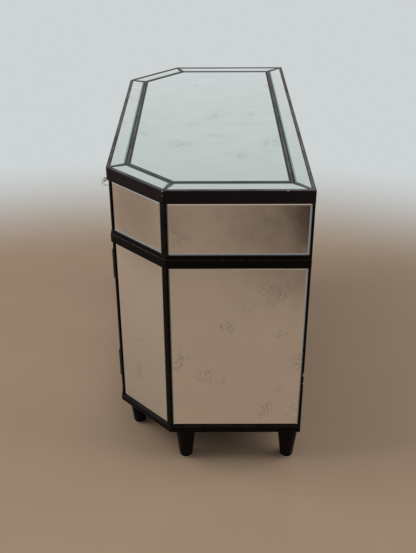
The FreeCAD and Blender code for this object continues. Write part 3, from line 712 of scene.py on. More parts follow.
# %% [markdown]
# The knobs are *clear glass*. Glass keeps a plain transmission; only its tint and its roughness vary,
# with fine scratches.

# %% Knob glass
GLASS_CLEAR, GLASS_TINT = rgb(0.98, 0.98, 0.95), rgb(0.94, 0.95, 0.90)


def knob_glass():
    """Clear glass with faint scratches."""
    material, tree, at, shade = finish("knob_glass", Transmission_Weight=1.0, IOR=1.52)
    haze = noise(tree, at, 220.0, detail=4.0, roughness=0.6)
    join(tree, shade, Base_Color=blend(tree, noise(tree, at, 40.0), GLASS_CLEAR, GLASS_TINT),
         Roughness=times(tree, slope(tree, haze, 0.45, 0.9), 0.12), Normal=bump(tree, haze, 0.004 * MM))
    return material


FINISHES["knob_glass"] = knob_glass()
print(f"knob glass: {len(FINISHES['knob_glass'].node_tree.nodes)} nodes")

# %% [markdown]
# The mounts of the knobs are *aged brass*, which darkens to brown in cloudy patches. The screws and
# strike plates are *plain steel*. Metals differ in colour and sheen, not in kind, so one function
# makes both.

# %% Brass and steel
BRASS, BRASS_BROWN = rgb(0.72, 0.58, 0.33), rgb(0.22, 0.15, 0.08)
STEEL, STEEL_DULL = rgb(0.62, 0.62, 0.60), rgb(0.40, 0.39, 0.37)


def metal(name, bright, dark, smooth, rough, patina_scale):
    """A metal that darkens and roughens in cloudy patches, with fine scratches."""
    material, tree, at, shade = finish(name, Metallic=1.0)
    patina = slope(tree, noise(tree, at, patina_scale, detail=5.0, roughness=0.65), 0.35, 0.7)
    scratches = noise(tree, at, 900.0, detail=3.0, roughness=0.8)
    sheen = put(tree, "ShaderNodeMapRange", {"Value": patina, "To Min": smooth, "To Max": rough}).outputs[0]
    join(tree, shade, Base_Color=blend(tree, patina, bright, dark), Roughness=sheen,
         Normal=bump(tree, scratches, 0.02 * MM))
    return material


FINISHES["knob_brass"] = metal("knob_brass", BRASS, BRASS_BROWN, smooth=0.22, rough=0.5, patina_scale=160.0)
FINISHES["plain_steel"] = metal("plain_steel", STEEL, STEEL_DULL, smooth=0.25, rough=0.42, patina_scale=90.0)
print(f"{len(FINISHES)} finishes so far")

# %% [markdown]
# The hinges are painted black. Where the paint is rubbed off, as on the heads of the pins, the steel
# is bare, so the mask of the wear feeds Metallic as well as the colour.

# %% Hinge paint
HINGE_BLACK, HINGE_CLOUD = rgb(0.010, 0.009, 0.009), rgb(0.020, 0.018, 0.017)
BARE_STEEL = rgb(0.42, 0.40, 0.38)


def hinge_steel():
    """Black paint on steel, rubbed through in spots."""
    material, tree, at, shade = finish("hinge_steel", Coat_Weight=0.2, Coat_Roughness=0.2)
    bare = use(tree, EDGE_WEAR, Vector=at, Arris=attribute(tree, "arris"), Scale=180.0, Bare=0.5)["Bare"]
    cloud = noise(tree, at, 120.0, detail=3.0)
    base = blend(tree, bare, blend(tree, cloud, HINGE_BLACK, HINGE_CLOUD), BARE_STEEL)
    rough = plus(tree, 0.32, times(tree, cloud, 0.2))
    join(tree, shade, Base_Color=base, Metallic=bare, Roughness=rough, Normal=bump(tree, cloud, 0.03 * MM))
    return material


FINISHES["hinge_steel"] = hinge_steel()
print(f"{len(FINISHES)} finishes so far")

# %% [markdown]
# The glides are pressed *felt*: short fibres, matt, soiled near the floor. The catch is moulded
# *plastic* with a fine sparked texture. With these two the set is whole, and every solid gets its
# own finish by the slot that the record names.

# %% Felt and plastic, and all finishes on their solids
FELT, FELT_FIBRE, FELT_SOIL = rgb(0.42, 0.37, 0.30), rgb(0.72, 0.66, 0.56), rgb(0.25, 0.21, 0.17)
PLASTIC, PLASTIC_PALE = rgb(0.050, 0.036, 0.028), rgb(0.075, 0.055, 0.042)


def felt():
    """Pressed fibres, soiled in patches."""
    material, tree, at, shade = finish("felt", Sheen_Weight=0.4, Sheen_Roughness=0.5)
    fibres = noise(tree, at, 900.0, detail=5.0, roughness=0.75, distortion=2.0)
    soil = slope(tree, noise(tree, at, 45.0, detail=4.0), 0.45, 0.8)
    base = blend(tree, soil, blend(tree, fibres, FELT, FELT_FIBRE), FELT_SOIL)
    rough = plus(tree, 0.85, times(tree, fibres, 0.15))
    join(tree, shade, Base_Color=base, Roughness=rough, Normal=bump(tree, fibres, 0.3 * MM))
    return material


def catch_plastic():
    """Moulded plastic with a sparked texture."""
    material, tree, at, shade = finish("catch_plastic")
    spark = noise(tree, at, 1400.0, detail=2.0, roughness=0.6)
    base = blend(tree, noise(tree, at, 30.0, detail=2.0), PLASTIC, PLASTIC_PALE)
    rough = plus(tree, 0.38, times(tree, spark, 0.15))
    join(tree, shade, Base_Color=base, Roughness=rough, Normal=bump(tree, spark, 0.05 * MM))
    return material


FINISHES["felt"] = felt()
FINISHES["catch_plastic"] = catch_plastic()
for node, solid in frame["nodes"].items():
    solid.data.materials.clear()
    solid.data.materials.append(FINISHES[SLOT_OF[node]])
print(f"{len(FINISHES)} finishes on {len(frame['nodes'])} nodes")

# %% [markdown]
# ## Softened trim
#
# A solid comes in as loose triangles, so a copy is welded and its flat faces are made whole. Where
# two lengths of trim meet at a mitre, welding leaves the glued faces inside the wood. No edge of such
# a face joins just two faces that run the same way round, which tells it apart.

# %% Welded copies
WELD = 0.01 * MM
FLAT = math.radians(1.0)


def welded(node):
    """A copy of a solid with its triangles joined into whole faces; faces glued together are left out."""
    form = bmesh.new()
    form.from_mesh(frame["nodes"][node].data)
    bmesh.ops.remove_doubles(form, verts=form.verts, dist=WELD)
    bmesh.ops.dissolve_limit(form, angle_limit=FLAT, verts=form.verts, edges=form.edges)
    hidden = [face for face in form.faces if not any(edge.is_contiguous for edge in face.edges)]
    bmesh.ops.delete(form, geom=hidden, context="FACES")
    return form


sample = welded("shelf_board")
loose = len(frame["nodes"]["shelf_board"].data.polygons)
print(f"the shelf has {loose} triangles, and {len(sample.faces)} faces once welded")

# %% [markdown]
# A flat surface with a hole in it can't be one face, so it stays in several. `flat_regions` gathers
# neighbours that share a plane, by walking from face to face, and `area` adds them up.

# %% Flat regions


def area(region):
    """The area of some faces together."""
    return sum(face.calc_area() for face in region)


def flat_regions(form):
    """Connected faces that share one plane."""
    left = set(form.faces)
    regions = []
    for first in list(form.faces):
        if first not in left:
            continue
        left.discard(first)
        region = [first]
        for face in region:
            for edge in face.edges:
                for other in edge.link_faces:
                    if other in left and edge.calc_face_angle(math.pi) < FLAT:
                        left.discard(other)
                        region.append(other)
        regions.append(region)
    return regions


print(f"{len(flat_regions(sample))} flat regions on the shelf")
sample.free()

# %% [markdown]
# A finished form becomes a piece in one place: it gets its mesh, the material of its slot and the body that it
# rides on, and the solids that it stands for are hidden. Smooth shading with sharp edges from an angle keeps flat
# faces flat and rounds round.

# %% Turn a form into a piece
CREASE = math.radians(24.0)


def add_piece(name, form, body, slot, replaced):
    """Turn a form into a piece that rides on a body and stands for some solids."""
    mesh = bpy.data.meshes.new(name)
    form.to_mesh(mesh)
    form.free()
    mesh.shade_smooth()
    mesh.set_sharp_from_angle(angle=CREASE)
    mesh.materials.append(FINISHES[slot])
    piece = bpy.data.objects.new(name, mesh)
    scene.collection.objects.link(piece)
    declare(piece, body, replaced)
    return piece


def declare(piece, body, replaced):
    """Put a piece on the body that it rides on and hide the solids that it stands for."""
    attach(piece, body)
    if replaced:
        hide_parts(*replaced)


print(f"faces meeting at over {math.degrees(CREASE):.0f} degrees keep a sharp edge")

# %% [markdown]
# Lacquered wood and planed drawer sides have no knife edges, so every arris is bevelled a little.
# Then each flat face gets a border by an inset: the vertices on the arris carry the number 1 and
# those of the border 0, which is what the edge wear reads. A face too narrow for a border stays
# rubbed all over; `narrowness` finds those, and `keep_inside` holds a piece to its solid's box.

# %% Measures for the wear border
WEAR_BORDER = 1.6 * MM
TOO_NARROW = 2.4 * WEAR_BORDER


def narrowness(region):
    """About how wide a long region is."""
    inside = set(region)
    border = sum(edge.calc_length() for edge in {edge for face in region for edge in face.edges}
                 if sum(face in inside for face in edge.link_faces) == 1)
    return 2 * area(region) / max(border, WELD)


def keep_inside(form, low, high):
    """Push stray vertices back to the box of the solid."""
    for vertex in form.verts:
        for axis in range(3):
            vertex.co[axis] = min(max(vertex.co[axis], low[axis]), high[axis])


print(f"a flat face over {TOO_NARROW / MM:.1f} mm wide gets a border of {WEAR_BORDER / MM:.1f} mm")

# %% [markdown]
# The order matters: weld, round the arrises, mark them, inset. The inset comes last, because its
# border has to lie inside the rounding. The ring of beads, the mitre beads and the legs have round
# shapes of their own and are made further down.

# %% Trim with rounded arrises
ARRIS = 0.35 * MM


def softened(node):
    """Replace a solid by its copy with rounded arrises and a wear border on each face."""
    form = welded(node)
    sharp = [edge for edge in form.edges if edge.is_manifold and edge.calc_face_angle() > CREASE]
    bmesh.ops.bevel(form, geom=sharp, offset=ARRIS, segments=2, profile=0.5, affect="EDGES",
                    clamp_overlap=True)
    bmesh.ops.dissolve_degenerate(form, dist=WELD / 10, edges=form.edges)
    arris = form.verts.layers.float.new("arris")
    for vertex in form.verts:
        vertex[arris] = 1.0
    for region in flat_regions(form):
        if narrowness(region) > TOO_NARROW:
            bmesh.ops.inset_region(form, faces=region, thickness=WEAR_BORDER, use_even_offset=True)
            for vertex in {vertex for face in region for vertex in face.verts}:
                vertex[arris] = 0.0
    keep_inside(form, *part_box(node))
    return add_piece(f"soft_{node}", form, BODY_OF[node], SLOT_OF[node], [node])


MADE_OTHERWISE = ("ring_beads", "mitre_beads", "legs")
TRIM = [node for node, slot in SLOT_OF.items()
        if slot in ("black_lacquer", "drawer_wood") and node not in MADE_OTHERWISE]
soft_trim = [softened(node) for node in TRIM]
print(f"{len(soft_trim)} softened pieces, {sum(len(piece.data.polygons) for piece in soft_trim)} faces")

# %% [markdown]
# ## The ring of beads
#
# A raised bead runs round the centre mirror in six lengths. Its crown is very shallow, so a bevel
# can't make it, and it is swept instead. The way of the sweep is read off the solid: each corner has
# an outer and an inner foot, which are nearest neighbours, and an angle round the middle sorts them.

# %% Corners of the ring


def ring_corners(node):
    """The corners of a ring in order: the outer and the inner foot of each."""
    low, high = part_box(node)
    middle = (low + high) / 2
    form = welded(node)
    feet = [vertex.co.copy() for vertex in form.verts if vertex.co.z < low.z + WELD]
    form.free()
    feet.sort(key=lambda foot: math.atan2(foot.y - middle.y, foot.x - middle.x))
    corners = []
    for foot in feet:
        other = min((place for place in feet if place is not foot), key=lambda place: (place - foot).length)
        if (foot - middle).length > (other - middle).length:
            corners.append((foot, other))
    return corners


print(f"{len(ring_corners('ring_beads'))} corners")

# %% [markdown]
# A half profile is mirrored and set at each corner between the outer and the inner foot, and neighbours are
# joined. The bead carries two numbers for its finish: `beside_crown` is 1 beside the crown and keeps the pale tone
# of dust and painted sheen to the crown itself, and `arris` lays the rubbed colour on the crown as a painted
# sheen.

# %% Sweep the crowned bead
CROWN = ((0.0, 0.0), (0.0, 0.80), (0.03, 0.88), (0.10, 0.93), (0.22, 0.975), (0.36, 0.995), (0.5, 1.0))
PAINTED_BEAD_SHEEN = 0.75
PAINTED_SHEEN_SPAN = (0.2, 0.8)
DUST_AND_SHEEN_SPAN = (0.3, 0.7)


def crowned_ring(node):
    """Replace the ring of beads by one with a crowned top."""
    low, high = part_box(node)
    profile = list(CROWN) + [(1.0 - share, rise) for share, rise in reversed(CROWN[:-1])]
    form = bmesh.new()
    arris = form.verts.layers.float.new("arris")
    beside_crown = form.verts.layers.float.new("beside_crown")
    rings = []
    for outer, inner in ring_corners(node):
        rings.append([])
        for share, rise in profile:
            place = outer.lerp(inner, share)
            vertex = form.verts.new((place.x, place.y, low.z + rise * (high.z - low.z)))
            # Painted sheen: the crown of the bead gets the rubbed colour of the lacquer.
            vertex[arris] = PAINTED_BEAD_SHEEN if PAINTED_SHEEN_SPAN[0] < share < PAINTED_SHEEN_SPAN[1] else 0.0
            vertex[beside_crown] = 0.0 if DUST_AND_SHEEN_SPAN[0] < share < DUST_AND_SHEEN_SPAN[1] else 1.0
            rings[-1].append(vertex)
    for first, second in zip(rings, rings[1:] + rings[:1]):
        for step in range(len(profile)):
            after = (step + 1) % len(profile)
            form.faces.new((first[step], second[step], second[after], first[after]))
    bmesh.ops.recalc_face_normals(form, faces=form.faces)
    return add_piece(f"crowned_{node}", form, BODY_OF[node], SLOT_OF[node], [node])


ring = crowned_ring("ring_beads")
print(f"ring bead: {len(ring.data.polygons)} faces")

# %% [markdown]
# The mitre beads and the knuckles of the hinges come round from their solids. They need only the
# weld and smooth shading.

# %% Round pieces


def smoothed(node):
    """Replace a solid that is already round by its welded copy, shaded smooth."""
    return add_piece(f"smooth_{node}", welded(node), BODY_OF[node], SLOT_OF[node], [node])


HINGES = [node for node, slot in SLOT_OF.items() if slot == "hinge_steel"]
round_pieces = [smoothed(node) for node in ["mitre_beads"] + HINGES]
print(f"{len(round_pieces)} smoothed pieces")

# %% [markdown]
# ## The panes
#
# The upright panes have a ground bevel all round; the panes of the top are plain. Each pane is a welded copy whose
# mesh carries the two numbers that its finish reads, `rim` and `painted_glint`. A bevel is a face that is tilted a
# little, so its normal tells it. The bevels of the ends towards the wall and the lower bevels of the upper tier
# get a painted pale glint; those of the ends that look up get a painted tan reflection.

# %% Painted light on the bevels
TILTED = (0.05, 0.6)
SIDEWAYS = 0.3
UPRIGHT_HEIGHT = 20.0 * MM
SQUARE_ON = 0.9
HEART = Vector((0.0, 0.1, 0.0))


def painted_bevel_light(face, node, middle):
    """The painted glint of a face: 1 for a painted pale glint, -1 for a painted tan reflection, 0 elsewhere."""
    across = abs(face.normal.normalized().y)
    ground = TILTED[0] < abs(face.normal.z) < TILTED[1] or TILTED[0] < across < TILTED[1]
    if not ground or abs(face.normal.x) <= SIDEWAYS:
        return 0.0
    place = face.calc_center_median()
    on_end = node.startswith("end_mirror")
    to_wall = on_end and face.normal.y > TILTED[0] and place.y > middle.y
    below = "upper" in node and face.normal.z < -TILTED[0] and place.z < middle.z
    if to_wall or below:
        return 1.0
    return -1.0 if on_end and face.normal.z > TILTED[0] else 0.0


def looks_out(face):
    """Whether a face of an upright pane looks away from the inside of the cabinet."""
    flat = Vector((face.normal.x, face.normal.y, 0.0))
    return flat.length > SQUARE_ON and flat.dot(face.calc_center_median() - HEART) > 0.0


PANES = [node for node, slot in SLOT_OF.items() if slot == "mirror_glass"]
standing = [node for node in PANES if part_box(node)[1].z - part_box(node)[0].z > UPRIGHT_HEIGHT]
print(f"{len(PANES)} panes, {len(standing)} of them upright")

# %% [markdown]
# `rim` starts at 1 everywhere. On an upright pane the face inside the bevel is then set to 0. A pane of the top
# gets a border by an inset first: thin round the centre mirror, where its green is a painted shade line in the gap
# beside the bead, and wider on the border strips, whose green edge shows only along the ring of beads.

# %% Silver the panes
RIM_WIDTH = 6.0 * MM
GAP_SHADE_RIM = 1.5 * MM


def clear_of_ring(place):
    """How far a place lies outside the ring of beads."""
    low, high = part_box("ring_beads")
    return max(low.x - place.x, place.x - high.x, low.y - place.y, place.y - high.y)


def silvered(node):
    """Replace a pane by its copy with the numbers that its finish reads."""
    form = welded(node)
    rim = form.verts.layers.float.new("rim")
    painted_glint = form.faces.layers.float.new("painted_glint")
    low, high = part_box(node)
    for vertex in form.verts:
        vertex[rim] = 1.0
    if node in standing:
        for face in form.faces:
            face[painted_glint] = painted_bevel_light(face, node, (low + high) / 2)
        inner = [max((region for region in flat_regions(form) if looks_out(region[0])), key=area)]
    else:
        inner = [region for region in flat_regions(form) if region[0].normal.z > SQUARE_ON]
        # The thin rim round the centre mirror is a painted shade line beside the bead.
        width = RIM_WIDTH if node == "border_mirrors" else GAP_SHADE_RIM
        for region in inner:
            bmesh.ops.inset_region(form, faces=region, thickness=width, use_even_offset=True)
    for vertex in {vertex for region in inner for face in region for vertex in face.verts}:
        vertex[rim] = 0.0
    if node == "border_mirrors":
        for vertex in form.verts:
            if clear_of_ring(vertex.co) > RIM_WIDTH:
                vertex[rim] = 0.0
    piece = add_piece(f"glass_{node}", form, BODY_OF[node], SLOT_OF[node], [node])
    piece.data.shade_flat()
    return piece


panes = [silvered(node) for node in PANES]
print(f"{len(panes)} panes silvered, {sum(len(pane.data.polygons) for pane in panes)} faces")

# %% [markdown]
# ## Turned legs on felt glides
#
# A leg is turned on a lathe: one profile, repeated six times. Geometry Nodes suit that, because one
# tree with named sizes makes every leg. `node_tree` opens such a tree, and `settle` ends it: copies
# become real geometry and get their material, so nothing is left as an instance.

# %% Open and end a Geometry Nodes tree


def node_tree(name, inputs):
    """A Geometry Nodes tree with named inputs and one geometry output."""
    tree = bpy.data.node_groups.new(name, "GeometryNodeTree")
    for label, kind in inputs:
        tree.interface.new_socket(label, in_out="INPUT", socket_type=f"NodeSocket{kind}")
    tree.interface.new_socket("Result", in_out="OUTPUT", socket_type="NodeSocketGeometry")
    start = tree.nodes.new("NodeGroupInput")
    end = tree.nodes.new("NodeGroupOutput")
    return tree, {socket.name: socket for socket in start.outputs if socket.name}, end


def on_points(tree, points, instance, **more):
    """Copies of a form on points."""
    sockets = {"Points": points, "Instance": instance, **more}
    return put(tree, "GeometryNodeInstanceOnPoints", sockets).outputs[0]


def settle(tree, geometry, material, end):
    """Close a tree: real geometry with its material."""
    real = put(tree, "GeometryNodeRealizeInstances", {"Geometry": geometry}).outputs[0]
    done = put(tree, "GeometryNodeSetMaterial", {"Geometry": real, "Material": material}).outputs[0]
    tree.links.new(done, end.inputs[0])


print("words for Geometry Nodes: node_tree, on_points, settle")

# %% [markdown]
# Both ends of a turned piece are eased by a quarter round. `quarter_round` gives its rise and inset
# from the cosine and sine of the sweep, and `between` gives a number on the way between two.

# %% Eased ends
EASE_STEPS = 6
RINGS = 2 * EASE_STEPS + 1


def between(tree, factor, first, second):
    """A number on the way from first to second."""
    return put(tree, "ShaderNodeMix", {0: factor, 2: first, 3: second}).outputs[0]


def quarter_round(tree, share, ease):
    """Rise and inset of a quarter round at a share of its sweep."""
    sweep = times(tree, share, math.pi / 2)
    rise = times(tree, ease, rest(tree, maths(tree, "COSINE", sweep)))
    inset = times(tree, ease, rest(tree, maths(tree, "SINE", sweep)))
    return rise, inset


print(f"{EASE_STEPS} steps round each end")

# %% [markdown]
# The lathe takes a plain cylinder of unit size with many rings, sends each ring to its place on a
# tapered profile and sets a copy on every spot. The first rings belong to the foot's rounding, the
# last to the head's. How near a ring lies to an end is also the number that the edge wear reads.

# %% The lathe


def lathe_tree():
    """Turned pieces on spots, tapered, with eased ends."""
    tree, given, end = node_tree("Turned Piece", [
        ("Spots", "Geometry"), ("Height", "Float"), ("Foot Radius", "Float"), ("Head Radius", "Float"),
        ("Foot Ease", "Float"), ("Head Ease", "Float"), ("Sides", "Int"), ("Finish", "Material")])
    blank = put(tree, "GeometryNodeMeshCylinder", {"Vertices": given["Sides"], "Side Segments": RINGS,
                                                   "Radius": 1.0, "Depth": 1.0}, fill_type="NGON").outputs[0]
    side, front, level = axes(tree, put(tree, "GeometryNodeInputPosition").outputs[0])
    ring = maths(tree, "ROUND", times(tree, plus(tree, level, 0.5), RINGS))
    near_foot = maths(tree, "DIVIDE", ring, EASE_STEPS, clamp=True)
    near_head = maths(tree, "DIVIDE", maths(tree, "SUBTRACT", RINGS, ring), EASE_STEPS, clamp=True)
    upper = maths(tree, "GREATER_THAN", ring, EASE_STEPS + 0.5)
    foot_rise, foot_inset = quarter_round(tree, near_foot, given["Foot Ease"])
    head_rise, head_inset = quarter_round(tree, near_head, given["Head Ease"])
    height = between(tree, upper, foot_rise, maths(tree, "SUBTRACT", given["Height"], head_rise))
    inset = between(tree, upper, foot_inset, head_inset)
    share = maths(tree, "DIVIDE", height, given["Height"])
    radius = maths(tree, "SUBTRACT", between(tree, share, given["Foot Radius"], given["Head Radius"]), inset)
    moved = put(tree, "ShaderNodeCombineXYZ", {0: times(tree, side, radius), 1: times(tree, front, radius),
                                               2: height}).outputs[0]
    arris = rest(tree, between(tree, upper, near_foot, near_head))
    marked = put(tree, "GeometryNodeStoreNamedAttribute",
                 {"Geometry": blank, "Name": "arris", "Value": arris}).outputs[0]
    turned = put(tree, "GeometryNodeSetPosition", {"Geometry": marked, "Position": moved}).outputs[0]
    settle(tree, on_points(tree, given["Spots"], turned), given["Finish"], end)
    return tree


LATHE = lathe_tree()
print(f"lathe: {RINGS + 1} rings")

# %% [markdown]
# `grown` runs a tree. The spots are the vertices of a small mesh, a modifier holds the tree, and each
# input is set by its identifier before the first evaluation. The evaluated result is kept as a plain
# mesh and the modifier goes, so the piece is like any other.

# %% Run a tree and keep its mesh


def grown(name, tree, spots, body, slot, replaced, **sizes):
    """Run a tree on some spots and keep the result as a plain mesh."""
    seeds = bpy.data.meshes.new(name)
    seeds.from_pydata(spots, [], [])
    piece = bpy.data.objects.new(name, seeds)
    scene.collection.objects.link(piece)
    modifier = piece.modifiers.new(name, "NODES")
    modifier.node_group = tree
    values = {label.replace("_", " "): value for label, value in sizes.items()}
    values["Finish"] = FINISHES[slot]
    for item in tree.interface.items_tree:
        if item.in_out == "INPUT" and item.name in values:
            modifier[item.identifier] = values[item.name]
    bpy.context.view_layer.update()
    made = bpy.data.meshes.new_from_object(piece.evaluated_get(bpy.context.evaluated_depsgraph_get()))
    piece.modifiers.clear()
    piece.data = made
    made.shade_smooth()
    made.set_sharp_from_angle(angle=CREASE)
    declare(piece, body, replaced)
    return piece


print("a tree runs with: grown")

# %% [markdown]
# A node may hold several like solids, such as the six legs. `solids_in` tells them apart by walking
# from vertex to vertex along the edges, and gives the box of each, which says where copies belong.

# %% Boxes of separate solids


def solids_in(node):
    """The box of each separate solid in a node."""
    form = welded(node)
    left = set(form.verts)
    boxes = []
    while left:
        part = [left.pop()]
        for vertex in part:
            for edge in vertex.link_edges:
                other = edge.other_vert(vertex)
                if other in left:
                    left.discard(other)
                    part.append(other)
        low = Vector([min(vertex.co[axis] for vertex in part) for axis in range(3)])
        high = Vector([max(vertex.co[axis] for vertex in part) for axis in range(3)])
        boxes.append((low, high))
    form.free()
    return sorted(boxes, key=lambda box: tuple(round(value, 5) for value in box[0]))


print(f"{len(solids_in('legs'))} solids in the node of the legs")

# %% [markdown]
# The lathe turns the six legs from the boxes of their solids. The same tree with other sizes presses
# the felt glides under them: flat discs with eased edges.

# %% Legs and glides
LEG_FOOT_RADIUS = 17.5 * MM
LEG_HEAD_RADIUS = 29.0 * MM
leg_low, leg_high = solids_in("legs")[0]
glide_low, glide_high = solids_in("felt_glides")[0]
leg_height = leg_high.z - leg_low.z
glide_radius = (glide_high.x - glide_low.x) / 2


def feet_of(node):
    """The middle of the underside of each solid in a node."""
    return [((low.x + high.x) / 2, (low.y + high.y) / 2, low.z) for low, high in solids_in(node)]


grown("turned_legs", LATHE, feet_of("legs"), "case", "black_lacquer", ["legs"], Height=leg_height, Sides=56,
      Foot_Radius=LEG_FOOT_RADIUS, Head_Radius=LEG_HEAD_RADIUS, Foot_Ease=2.0 * MM, Head_Ease=0.2 * MM)
grown("pressed_glides", LATHE, feet_of("felt_glides"), "case", "felt", ["felt_glides"], Sides=40,
      Height=glide_high.z - glide_low.z, Foot_Radius=glide_radius, Head_Radius=glide_radius,
      Foot_Ease=1.2 * MM, Head_Ease=0.4 * MM)
print(f"legs {leg_height / MM:.0f} mm high on glides {2 * glide_radius / MM:.0f} mm wide")

# %% [markdown]
# ## Cut-glass knobs on turned mounts
#
# A knob is a glass ball, cut in rings of facets. Both the ball and its brass mount are built ring by
# ring round the knob's own axis, which points to the front. `skin` joins equal rings for turned work.

# %% Rings round an axis


def ring_of(form, centre, radius, out, sides, twist=0.0):
    """Vertices of one ring; `out` is the distance towards the front, twist a share of a step."""
    if radius == 0.0:
        return [form.verts.new((centre.x, centre.y - out, centre.z))]
    ring = []
    for side in range(sides):
        turn = 2 * math.pi * (side + twist) / sides
        ring.append(form.verts.new((centre.x + radius * math.cos(turn), centre.y - out,
                                    centre.z + radius * math.sin(turn))))
    return ring


def skin(form, first, second):
    """Faces between two rings, or a ring and a point."""
    if len(first) == 1 or len(second) == 1:
        point, ring = (first[0], second) if len(first) == 1 else (second[0], first)
        for side, vertex in enumerate(ring):
            form.faces.new((point, vertex, ring[(side + 1) % len(ring)]))
        return
    for side in range(len(first)):
        after = (side + 1) % len(first)
        form.faces.new((first[side], first[after], second[after], second[side]))


print("words for turned work: ring_of, skin")

# %% [markdown]
# The facets are triangles between rings that are turned by half a step against each other, as a
# glass cutter sets them. Flat shading keeps each facet a facet, so the ball sparkles.

# %% The cut ball
CUT_SIDES = 12
CUT_ANGLES = (24.0, 50.0, 77.0, 103.0, 130.0, 156.0)


def facet(form, first, second, twisted):
    """Triangles between two rings that are half a step apart."""
    sides = len(first)
    for side in range(sides):
        after = (side + 1) % sides
        if twisted:
            form.faces.new((first[side], first[after], second[side]))
            form.faces.new((first[after], second[after], second[side]))
        else:
            form.faces.new((first[side], first[after], second[after]))
            form.faces.new((first[side], second[after], second[side]))


def cut_ball(form, low, high):
    """A cut-glass ball between the ends of its box."""
    centre = (low + high) / 2
    radius = (high.x - low.x) / 2
    depth = (high.y - low.y) / 2 / math.cos(math.radians(CUT_ANGLES[0]))
    rings = []
    for level, angle in enumerate(CUT_ANGLES):
        turn = math.radians(angle)
        rings.append(ring_of(form, centre, radius * math.sin(turn), depth * math.cos(turn),
                             CUT_SIDES, 0.5 * (level % 2)))
    for level in range(len(rings) - 1):
        facet(form, rings[level], rings[level + 1], level % 2 == 0)
    form.faces.new(rings[0])
    form.faces.new(rings[-1])


print(f"a ball has {CUT_SIDES * len(CUT_ANGLES)} corners")

# %% [markdown]
# The mount is turned brass: a stud through board and glass, a rosette on the pane, a waisted neck
# and a cup that holds the ball. Its profile is a short list of radii and heights over the pane.

# %% The turned mount
MOUNT_SIDES = 40
MOUNT_STAND = 14.0 * MM
STUD_RADIUS = 2.5 * MM
ROSETTE_EDGE = 1.0 * MM
TURNING = (  # radius and height over the pane, in millimetres
    (8.6, 1.8), (7.8, 2.4), (6.6, 2.6), (5.2, 3.2), (4.2, 4.6), (3.7, 6.6),
    (3.9, 9.0), (4.6, 11.0), (5.6, 12.4), (5.8, 13.2), (5.4, 14.0),
)


def turned_mount(form, low, high):
    """Stud, rosette, waisted neck and cup, from the inside of the board to the ball."""
    centre = Vector(((low.x + high.x) / 2, high.y, (low.z + high.z) / 2))
    tip = high.y - low.y
    seat = tip - MOUNT_STAND
    rosette = (high.x - low.x) / 2
    profile = [(0.0, 0.0), (STUD_RADIUS, 0.0), (STUD_RADIUS, seat)]
    profile += [(rosette, seat), (rosette, seat + ROSETTE_EDGE)]
    profile += [(radius * MM, seat + height * MM) for radius, height in TURNING]
    profile.append((0.0, tip))
    rings = [ring_of(form, centre, radius, out, MOUNT_SIDES) for radius, out in profile]
    for first, second in zip(rings, rings[1:]):
        skin(form, first, second)


print(f"a mount stands {MOUNT_STAND / MM:.0f} mm out of the pane")

# %% [markdown]
# One node may hold two knobs, so each box in it gets its own ball or mount, and they stay one piece.

# %% The knobs


def knob_piece(node, build):
    """All balls or mounts of one node as one piece."""
    form = bmesh.new()
    for low, high in solids_in(node):
        build(form, low, high)
    bmesh.ops.recalc_face_normals(form, faces=form.faces)
    return add_piece(f"made_{node}", form, BODY_OF[node], SLOT_OF[node], [node])


balls = [knob_piece(node, cut_ball) for node, slot in SLOT_OF.items() if slot == "knob_glass"]
for ball in balls:
    ball.data.shade_flat()
mounts = [knob_piece(node, turned_mount) for node, slot in SLOT_OF.items() if slot == "knob_brass"]
print(f"{len(balls)} pieces of cut glass, {len(mounts)} of turned brass")

# %% [markdown]
# ## Screws
#
# A screw's head is a flat disc with a cross cut into it. The tree fills the space between a circle
# and a four-pointed star and thickens it, so the cross is a real recess. The extruded part and a
# flipped copy of the face make a closed shell.

# %% The head of a screw
CROSS_WAIST, CROSS_REACH = 0.14, 0.62


def together(tree, *forms):
    """Several forms as one."""
    joined = tree.nodes.new("GeometryNodeJoinGeometry")
    for form in forms:
        tree.links.new(form, joined.inputs[0])
    return joined.outputs[0]


def cross_head(tree, radius, rise):
    """A flat head with a cross recess, facing +Z."""
    rim = put(tree, "GeometryNodeCurvePrimitiveCircle", {"Resolution": 28, "Radius": radius}).outputs[0]
    star = put(tree, "GeometryNodeCurveStar", {"Points": 4, "Inner Radius": times(tree, radius, CROSS_WAIST),
                                               "Outer Radius": times(tree, radius, CROSS_REACH)}).outputs[0]
    face = put(tree, "GeometryNodeFillCurve", {"Curve": together(tree, rim, star)}).outputs[0]
    lift = {"Mesh": face, "Offset": (0.0, 0.0, 1.0), "Offset Scale": rise, "Individual": False}
    raised = put(tree, "GeometryNodeExtrudeMesh", lift).outputs[0]
    under = put(tree, "GeometryNodeFlipFaces", {"Mesh": face}).outputs[0]
    shell = together(tree, raised, under)
    return put(tree, "GeometryNodeMergeByDistance", {"Geometry": shell, "Distance": WELD / 10}).outputs[0]


print(f"the cross reaches {CROSS_REACH:.0%} of the head's radius")

# %% [markdown]
# Two trees use that head. One sets screws on given spots, all facing one way. The other walks along
# the edge of an upright panel and sets them at even steps.

# %% Screws on spots and along an edge


def screws_tree():
    """Screws on spots, all facing one way."""
    tree, given, end = node_tree("Screws On Spots", [
        ("Spots", "Geometry"), ("Head Radius", "Float"), ("Rise", "Float"), ("Facing", "Vector"),
        ("Finish", "Material")])
    turn = put(tree, "FunctionNodeAlignRotationToVector", {"Vector": given["Facing"]}, axis="Z").outputs[0]
    head = cross_head(tree, given["Head Radius"], given["Rise"])
    settle(tree, on_points(tree, given["Spots"], head, Rotation=turn), given["Finish"], end)
    return tree


